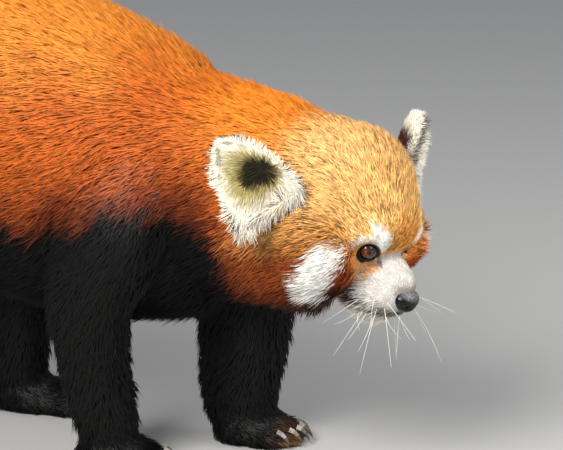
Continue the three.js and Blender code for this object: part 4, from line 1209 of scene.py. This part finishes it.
def rim_shade(out, part, ear_place):
    """The normals that tufts are lit by: the skin's, but bent out of the cup on an ear's thin rim, so that
    the hair there shines like the hair beside it."""
    shade = out.copy()
    for side, ear in EARS.items():
        here = part == PARTS.index("ear_" + side)
        across, along, facing = ear_place[here].T
        rim = np.maximum(soft_step(np.abs(across), 0.6, 1.0), soft_step(along, 0.7, 0.95))
        bend = rim * np.where(facing > 0, 0.9, 0.25)
        shade[here] = unit(out[here] + bend[:, None] * (ear_axes(ear)[3] @ HEAD_AXES.T))
    return shade


total = 0
for seed, (group, (names, slot, bends)) in enumerate(GROUPS.items()):
    draw = np.random.default_rng(500 + seed)
    corners, weight = pick_roots(names, draw)
    count = len(corners)
    root, out, lay = ((f[corners] * weight[..., None]).sum(1) for f in (skin_at, skin_out, skin_lay))
    size, half, steep, place = ((f[corners] * weight).sum(1) for f in (length, wide, lean, skin_place))
    corner = corners[np.arange(count), weight.argmax(1)]
    part, ear_place, out = skin_part[corner], skin_ear[corner], unit(out)
    wave = ripples(root, 13, 31) + 0.7 * ripples(root, 5, 34)
    lay = unit(along_surface(unit(lay) + 0.16 * wave + draw.normal(0, 0.1, (count, 3)), out))
    longest = 1.06 if group == "coat_tail" else 1.22
    size = size * (1 + 0.15 * ripple(root, 7, 37)) * draw.uniform(0.72, longest, count)
    steep = steep * (1 + 0.2 * ripple(root, 6, 38)) + draw.normal(0, 5, count)
    half = half * draw.uniform(0.75, 1.25, count)
    low, high = tuft_colours(group, root, out, lay, size, part, place, ear_place, draw)
    uv = np.zeros((count, 2))
    for k in np.unique(part):
        here = part == k
        uv[here] = unwrapped(PARTS[k], root[here], corner[here], ear_place[here])
    grown = {"root": root, "out": out, "lay": lay, "length": size, "wide": half, "lean": steep, "low": low,
             "high": high, "uv": uv, "shade": rim_shade(out, part, ear_place)}
    pieces = -(-count // TUFTS_A_PIECE[bends])
    for n in range(pieces):
        name = group if pieces == 1 else f"{group}_{n + 1}"
        tufts(name, {k: rows[n::pieces] for k, rows in grown.items()}, slot, draw, bends,
              sink=0.02 if group == "coat_ears" else 0.18)
    total += count * TUFT_TRIANGLES[bends]
    print(group, count, "tufts in", pieces, "pieces")
print("the coat has", total, "triangles")

# %% [markdown]
# ## Eyes and lids
# The eye is a ball with a clear, bulging front: a brown ring round a black pupil under a wet coat. It could
# be a plain sphere with a glass shell, but one surface with its colour in the mesh looks the same and bakes
# well. The lids are a tube that follows an almond on the ball.

# %% Eyes and lids
GAZE = unit(np.array([0.6, -0.74, 0.24]))  # of the right eye, in the head's frame
LID_HALF = (6.6, 5.9)  # half the length and half the height of the opening between the lids
LID_CORNER = 3.0  # how much further the inner corner reaches
LID_THICK = 0.6
LID_POINTS, LID_AROUND = 72, 10
IRIS = {name: tint(code) for name, code in {
    "pupil": "#060404", "brown": "#5e2a12", "spoke": "#241006", "glow": "#7a3c18", "shadow": "#160a06",
    "rim": "#0a0605"}.items()}


def eye_axes(side):
    """The way out of the socket, the way to the inner corner and the way up, for one eye."""
    out = unit(np.array([np.cos(EYE_TURN), side * np.sin(EYE_TURN), 0.16]))
    inner = np.array([0.894, -side * 0.438, 0.079])
    inner = unit(inner - out * (inner @ out))
    up = np.cross(out, inner)
    return out, inner, up * np.sign(up[2])


def eyeball(side):
    """Rings round the gaze: the angle from it runs from 0 to 180 degrees, and the radius swells by a cosine
    within 40 degrees, which is the clear front."""
    gaze = GAZE * [1, -side, 1]
    across = unit(np.cross([0, 0, 1.0], gaze))
    high = np.cross(gaze, across)
    lean = np.concatenate([np.linspace(0.02, 0.9, 26), np.linspace(1.0, 3.1, 14)])[::-1]
    radius = EYE_RADIUS + 0.55 * np.cos(np.clip(lean / 0.75, 0, 1) * np.pi / 2) ** 1.5
    past, beside = (radius * np.cos(lean))[:, None], (radius * np.sin(lean))[:, None]
    points, faces = closed_tube(rings_round(past * gaze, beside * across, beside * high, 40))
    turn = np.linspace(0, 2 * np.pi, 40, endpoint=False)
    lean, turn = np.append(np.repeat(lean, 40), [3.14, 0.0]), np.append(np.tile(turn, len(radius)), [0, 0])
    return from_head(points + EYE_CENTRE * [1, side, 1]), faces, lean, turn


def iris_colour(lean, turn, side):
    """Black to 11 degrees round a pupil that sits a little towards the nose, then brown with fine darker
    spokes, darker above, a black rim from 30 degrees and a dark white."""
    pupil = np.hypot(lean * np.cos(turn) + side * 0.13, lean * np.sin(turn))
    spokes = 0.5 + 0.5 * np.sin(turn * 23 + 2 * np.sin(turn * 7)) * np.sin(turn * 9 + 1)
    brown = paint(IRIS["brown"], (IRIS["spoke"], 0.5 * spokes), (IRIS["glow"], 0.4 * fade(lean, 0.2, 0.5)),
                  (IRIS["shadow"], 0.85 * soft_step(lean * np.sin(turn), 0.0, 0.4)))
    return paint(IRIS["pupil"], (brown, soft_step(pupil, 0.17, 0.24)),
                 (IRIS["rim"], soft_step(lean, 0.52, 0.64)))


def lids(side):
    """A closed tube round the opening. Its line is an almond: an ellipse whose height falls towards both
    ends by a fourth power, and whose inner corner is drawn out and down. It lies on the ball, and on the
    skin at that corner."""
    out, inner, up = eye_axes(side)
    centre = EYE_CENTRE * [1, side, 1]
    s = np.linspace(0, 2 * np.pi, LID_POINTS, endpoint=False)
    corner = np.maximum(np.cos(s), 0) ** 6
    across = LID_HALF[0] * np.cos(s) + LID_CORNER * corner
    high = LID_HALF[1] * np.sin(s) * (1 - 0.25 * np.cos(s) ** 4) - 1.2 * corner
    rest = np.sqrt(np.maximum((EYE_RADIUS + 0.7) ** 2 - across**2 - high**2, 0))
    line = across[:, None] * inner + high[:, None] * up + rest[:, None] * out
    line = mix(line, to_head_skin(line + centre, 8) - centre, soft_step(across, 6.2, 7.6))
    away = unit(line)
    outwards = unit(np.cross(unit(np.roll(line, -1, 0) - np.roll(line, 1, 0)), away))
    thick = (LID_THICK * (1 - 0.6 * soft_step(across, 6, 9.5)))[:, None]
    points = rings_round(line, thick * 1.3 * outwards, thick * away, LID_AROUND)
    i, j = np.meshgrid(np.arange(LID_POINTS), np.arange(LID_AROUND), indexing="ij")
    here, after = i * LID_AROUND, (i + 1) % LID_POINTS * LID_AROUND
    beside = (j + 1) % LID_AROUND
    quads = np.stack([here + j, here + beside, after + beside, after + j], -1).reshape(-1, 4)
    return from_head(points.reshape(-1, 3) + centre), quads if side < 0 else quads[:, ::-1]


# The cornea is wet, so a sharp clear coat mirrors the room, and what lies under it has no gloss of its own.
eye_finish, _, _ = finish("wet_eye", 0.2, 0.0, coat=1.0, coat_rough=0.02, layer="iris")
# The rim of a lid is bare dark skin, moist and finely wrinkled: half glossy.
lid_finish, tree, shader = finish("bare_lid_skin", 0.5, 0.3, colour=tint("#0b0807"))
bumped(tree, shader, 1400.0, 0.0002, 0.5)

for name, side in SIDES.items():
    points, faces, eye_lean, eye_turn = eyeball(side)
    ball = piece("eyeball_" + name, points, faces, eye_finish)
    add_colours(ball, iris_colour(eye_lean, eye_turn, side), "iris")
    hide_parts("eye_" + name)
    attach(ball, "root")
    lid = piece("lids_" + name, *lids(side), lid_finish)
    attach(lid, "root")
print("eyes look along", GAZE.round(2))

# %% [markdown]
# ## Nose
# A red panda's nose is a pad of bare wet leather with two comma-shaped nostrils and a groove between them.
# Cutting the nostrils with Booleans would leave sharp rims, so an egg is pressed in by smooth dips instead.

# %% Nose
# Leather that is kept wet: a low roughness for its gloss, fine pebbles, and a lighter grey painted on its
# upper side, which is a painted highlight from the light above.
leather, tree, shader = finish("wet_nose_leather", 0.22, 0.32, layer="coat")
bumped(tree, shader, 1100.0, 0.0003, 0.4, 2.0)


def nose_pad(rows=60, around=72):
    """An egg that is flatter on top, less a hollow for each nostril: a Gaussian dip at its front and a
    second, longer one that runs from it to the side, and a fine groove down the middle."""
    ball, faces = egg((0, 0, 0), (1, 1, 1), rows=rows, around=around)
    way = unit(ball)[:, [2, 0, 1]]
    points = way * (NOSE_SIZE + [0.2, 0, 0])
    points[:, 2] = np.where(points[:, 2] > 0, points[:, 2] * 0.86, points[:, 2])
    points[:, 1] *= 1 - 0.16 * soft_step(-points[:, 2], 0, 7)
    side = one_side(points)
    dip = 3.6 * np.exp(-(((side[:, 1] - 4.8) / 1.8) ** 2 + ((side[:, 2] + 1.0) / 2.0) ** 2))
    slit = 1.7 * np.exp(-(((side[:, 1] - 7.6) / 2.2) ** 2 + ((side[:, 2] + 2.2) / 0.9) ** 2))
    groove = 0.5 * np.exp(-((side[:, 1] / 0.45) ** 2)) * soft_step(-points[:, 2], 0.5, 3)
    inwards = (dip + slit + groove) * soft_step(way[:, 0], 0.1, 0.5)
    # The upper side is painted a lighter grey: a painted highlight from the light above.
    top_highlight = soft_step(way[:, 2], 0.35, 0.9) * (0.8 + 0.3 * ripple(points, 2.5, 51))
    colour = mix(np.broadcast_to(tint("#040404"), points.shape), tint("#77777a"), top_highlight.clip(0, 1))
    return from_head(points - way * inwards[:, None] + NOSE_CENTRE), faces, colour


nose_points, nose_faces, nose_colour = nose_pad()
nose = piece("nose_pad", nose_points, nose_faces, leather)
add_colours(nose, nose_colour)
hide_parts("nose")
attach(nose, "root")
print("nose pad of", len(nose.data.polygons), "faces")

# %% [markdown]
# ## Lips
# The mouth is closed, so all that shows is a dark line under the muzzle. It is a thin tube of bare skin on
# a line that is moved on to the skin, so that it sinks in between the hair.

# %% Lips: the line of the mouth
MOUTH = [(-27.8, 0), (-29, 18), (-30.5, 40), (-31.5, 66), (-33.5, 96)]  # height, and degrees from the front
LIP = 0.8
LIP_POINTS = 90


def mouth_line(count):
    """The line between the lips, from one corner to the other: rays from a point inside the muzzle, turned
    about the upright and moved on to the skin."""
    z, turn = curve(np.array(MOUTH, float), np.abs(np.linspace(-1, 1, count))).T
    turn = np.radians(turn) * np.sign(np.linspace(-1, 1, count))
    start = np.stack([8 + 14 * np.cos(turn), 14 * np.sin(turn), z], 1)
    return to_head_skin(start, 8)


line = spread(mouth_line(LIP_POINTS), np.stack([np.arange(LIP_POINTS - 1), np.arange(1, LIP_POINTS)], 1), 4)
along = unit(np.gradient(line, axis=0))
across = unit(np.cross(along, [0, 0, 1.0]))
thin = (LIP * np.sqrt(np.sin(np.linspace(0.05, np.pi - 0.05, LIP_POINTS))))[:, None]
points, faces = closed_tube(rings_round(line, thin * across, thin * np.cross(across, along), 8))
lips = piece("lips", from_head(points), faces, lid_finish)
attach(lips, "root")
print("lips", len(line), "rings")

# %% [markdown]
# ## Whiskers
# Long white bristles on the muzzle. They could be curves with a bevel, but a tapered tube of four sides
# round a line is as light, and its end can be thinner. The line leaves the lip outwards and bows: it is
# root + s way + s^2 bow, with s from 0 to 1, and the bow is its sag and a random bend.

# %% Whiskers
WHISKERS = [  # root x, |y|, z in the head's frame, then the way it points at first, and its length and sag
    (17, 14, -22, 0.45, 0.8, -0.05, 62, 20), (19, 13, -24, 0.5, 0.7, -0.35, 62, 18),
    (14, 15, -25, 0.3, 0.7, -0.6, 60, 14), (21, 11, -23, 0.65, 0.6, -0.2, 54, 16),
    (16, 14, -27, 0.4, 0.5, -0.75, 58, 10), (11, 16, -22, 0.0, 0.8, -0.5, 54, 20),
    (12, 15, -28, 0.1, 0.5, -0.85, 52, 10), (20, 12, -20, 0.6, 0.7, 0.15, 48, 18),
    (8, 17, -25, -0.35, 0.6, -0.7, 52, 14), (22, 9, -26, 0.6, 0.4, -0.7, 50, 10),
    (15, 15, -20, 0.4, 0.9, 0.15, 46, 14), (18, 12, -28, 0.5, 0.35, -0.8, 46, 8),
    (5, 18, -27, -0.5, 0.55, -0.75, 44, 16), (10, 16, -30, 0.2, 0.4, -0.9, 44, 8),
]
WHISKER_THICK = 0.25
# A bristle is a thick, stiff hair of clear keratin: smoother than fur, so it catches the light as a thin
# line.
bristle, _, _ = finish("whisker_bristle", 0.35, 0.5, colour=tint("#f4f1e8"))
draw = np.random.default_rng(77)
down = to_head(HEAD_AT + np.array([[0, 0, -1.0]]))[0]
shapes = []
for side in SIDES.values():
    for x, y, z, *way, reach, sag in WHISKERS:
        start = np.array([x, side * y, z], float)
        way = unit(np.array(way) * [1, side, 1] + draw.normal(0, 0.15, 3))
        s = np.linspace(0, 1, 16)[:, None]
        bend = unit(draw.normal(0, 1, 3)) * reach * draw.uniform(0.15, 0.4)
        bow = bend + down * sag * draw.uniform(0.4, 1.1)
        straight = way * (0.55 * reach + 3) * draw.uniform(0.75, 1.1)
        line = start - way * 3 + s * straight + s**2 * bow
        along = unit(np.gradient(line, axis=0))
        across = unit(np.cross(along, [0.3, 0.2, 1.0]))
        thick = WHISKER_THICK * (1 - 0.7 * s)
        high = np.cross(along, across)
        points, faces = closed_tube(rings_round(line, thick * across, thick * high, 4))
        shapes.append((from_head(points), faces))
whiskers = piece("whiskers", *one_mesh(shapes), bristle)
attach(whiskers, "root")
print("whiskers:", 2 * len(WHISKERS))

# %% [markdown]
# ## Claws
# The solids already have the shape of the claws, so they stay, and only get the look of horn: dark, with
# streaks of a lighter brown that run along the claw.

# %% Claws
# Horn grows in thin layers, which gives it streaks and a dull polish.
horn, tree, shader = finish("claw_horn", 0.38, 0.5, coat=0.2, coat_rough=0.2)
streaks = bumped(tree, shader, 500.0, 0.0002, 0.4, 3.0, (1, 4, 4))
horn_ramp = node(tree, "ShaderNodeValToRGB", {"Fac": streaks.outputs["Fac"]})
for stop, code in zip(horn_ramp.color_ramp.elements, ("#241d16", "#5d5140")):
    stop.color = (*tint(code), 1)
tree.links.new(horn_ramp.outputs["Color"], shader.inputs["Base Color"])
claws = [obj for name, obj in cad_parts.items() if "claw" in name]
for claw in claws:
    claw.data.materials.clear()
    claw.data.materials.append(horn)
print("claws of horn:", len(claws))

# %% [markdown]
# ## The room
# A plain pale floor and a pale sky that fills the shadows. Three soft lights: a small, warm key above and
# in front for the sun on the back, a large panel behind it that softens its shadows, and a third at the
# head's side.

# %% Floor and lights
FLOOR_HALF, FLOOR_AT = 9e3, -0.1
floor_finish, _, _ = finish("pale_floor", 0.8, 0.2, colour=(0.5, 0.5, 0.49))
corners = [[-1, -1], [1, -1], [1, 1], [-1, 1]]
floor = piece("floor", [[x * FLOOR_HALF, y * FLOOR_HALF, FLOOR_AT] for x, y in corners], [[0, 1, 2, 3]],
              floor_finish, smooth=False)
LIT_POINT = (60, 0, 180)


def soft_light(name, at, size, watts, colour):
    """A square area light at a point, turned to the animal's middle."""
    data = bpy.data.lights.new(name, "AREA")
    data.shape, data.size, data.energy, data.color = "SQUARE", size, watts, colour
    light = new_object(name, data)
    light.location, target = (Vector(((np.array(p, float) + SHIFT) * MM).tolist()) for p in (at, LIT_POINT))
    light.rotation_euler = (target - light.location).to_track_quat("-Z", "Y").to_euler()


soft_light("key", (60, -1480, 1180), 0.7, 32, (1, 0.97, 0.92))
soft_light("panel", (0, -1700, 1450), 1.6, 22, (0.97, 0.97, 1))
soft_light("side", (1560, 100, 1170), 1.4, 20, (1, 0.98, 0.95))
bpy.context.scene.view_settings.view_transform = "Standard"
world = bpy.data.worlds.new("sky")
world.use_nodes = True
world.node_tree.nodes["Background"].inputs["Color"].default_value = (0.9, 0.93, 1.0, 1)
world.node_tree.nodes["Background"].inputs["Strength"].default_value = 0.33
bpy.context.scene.world = world
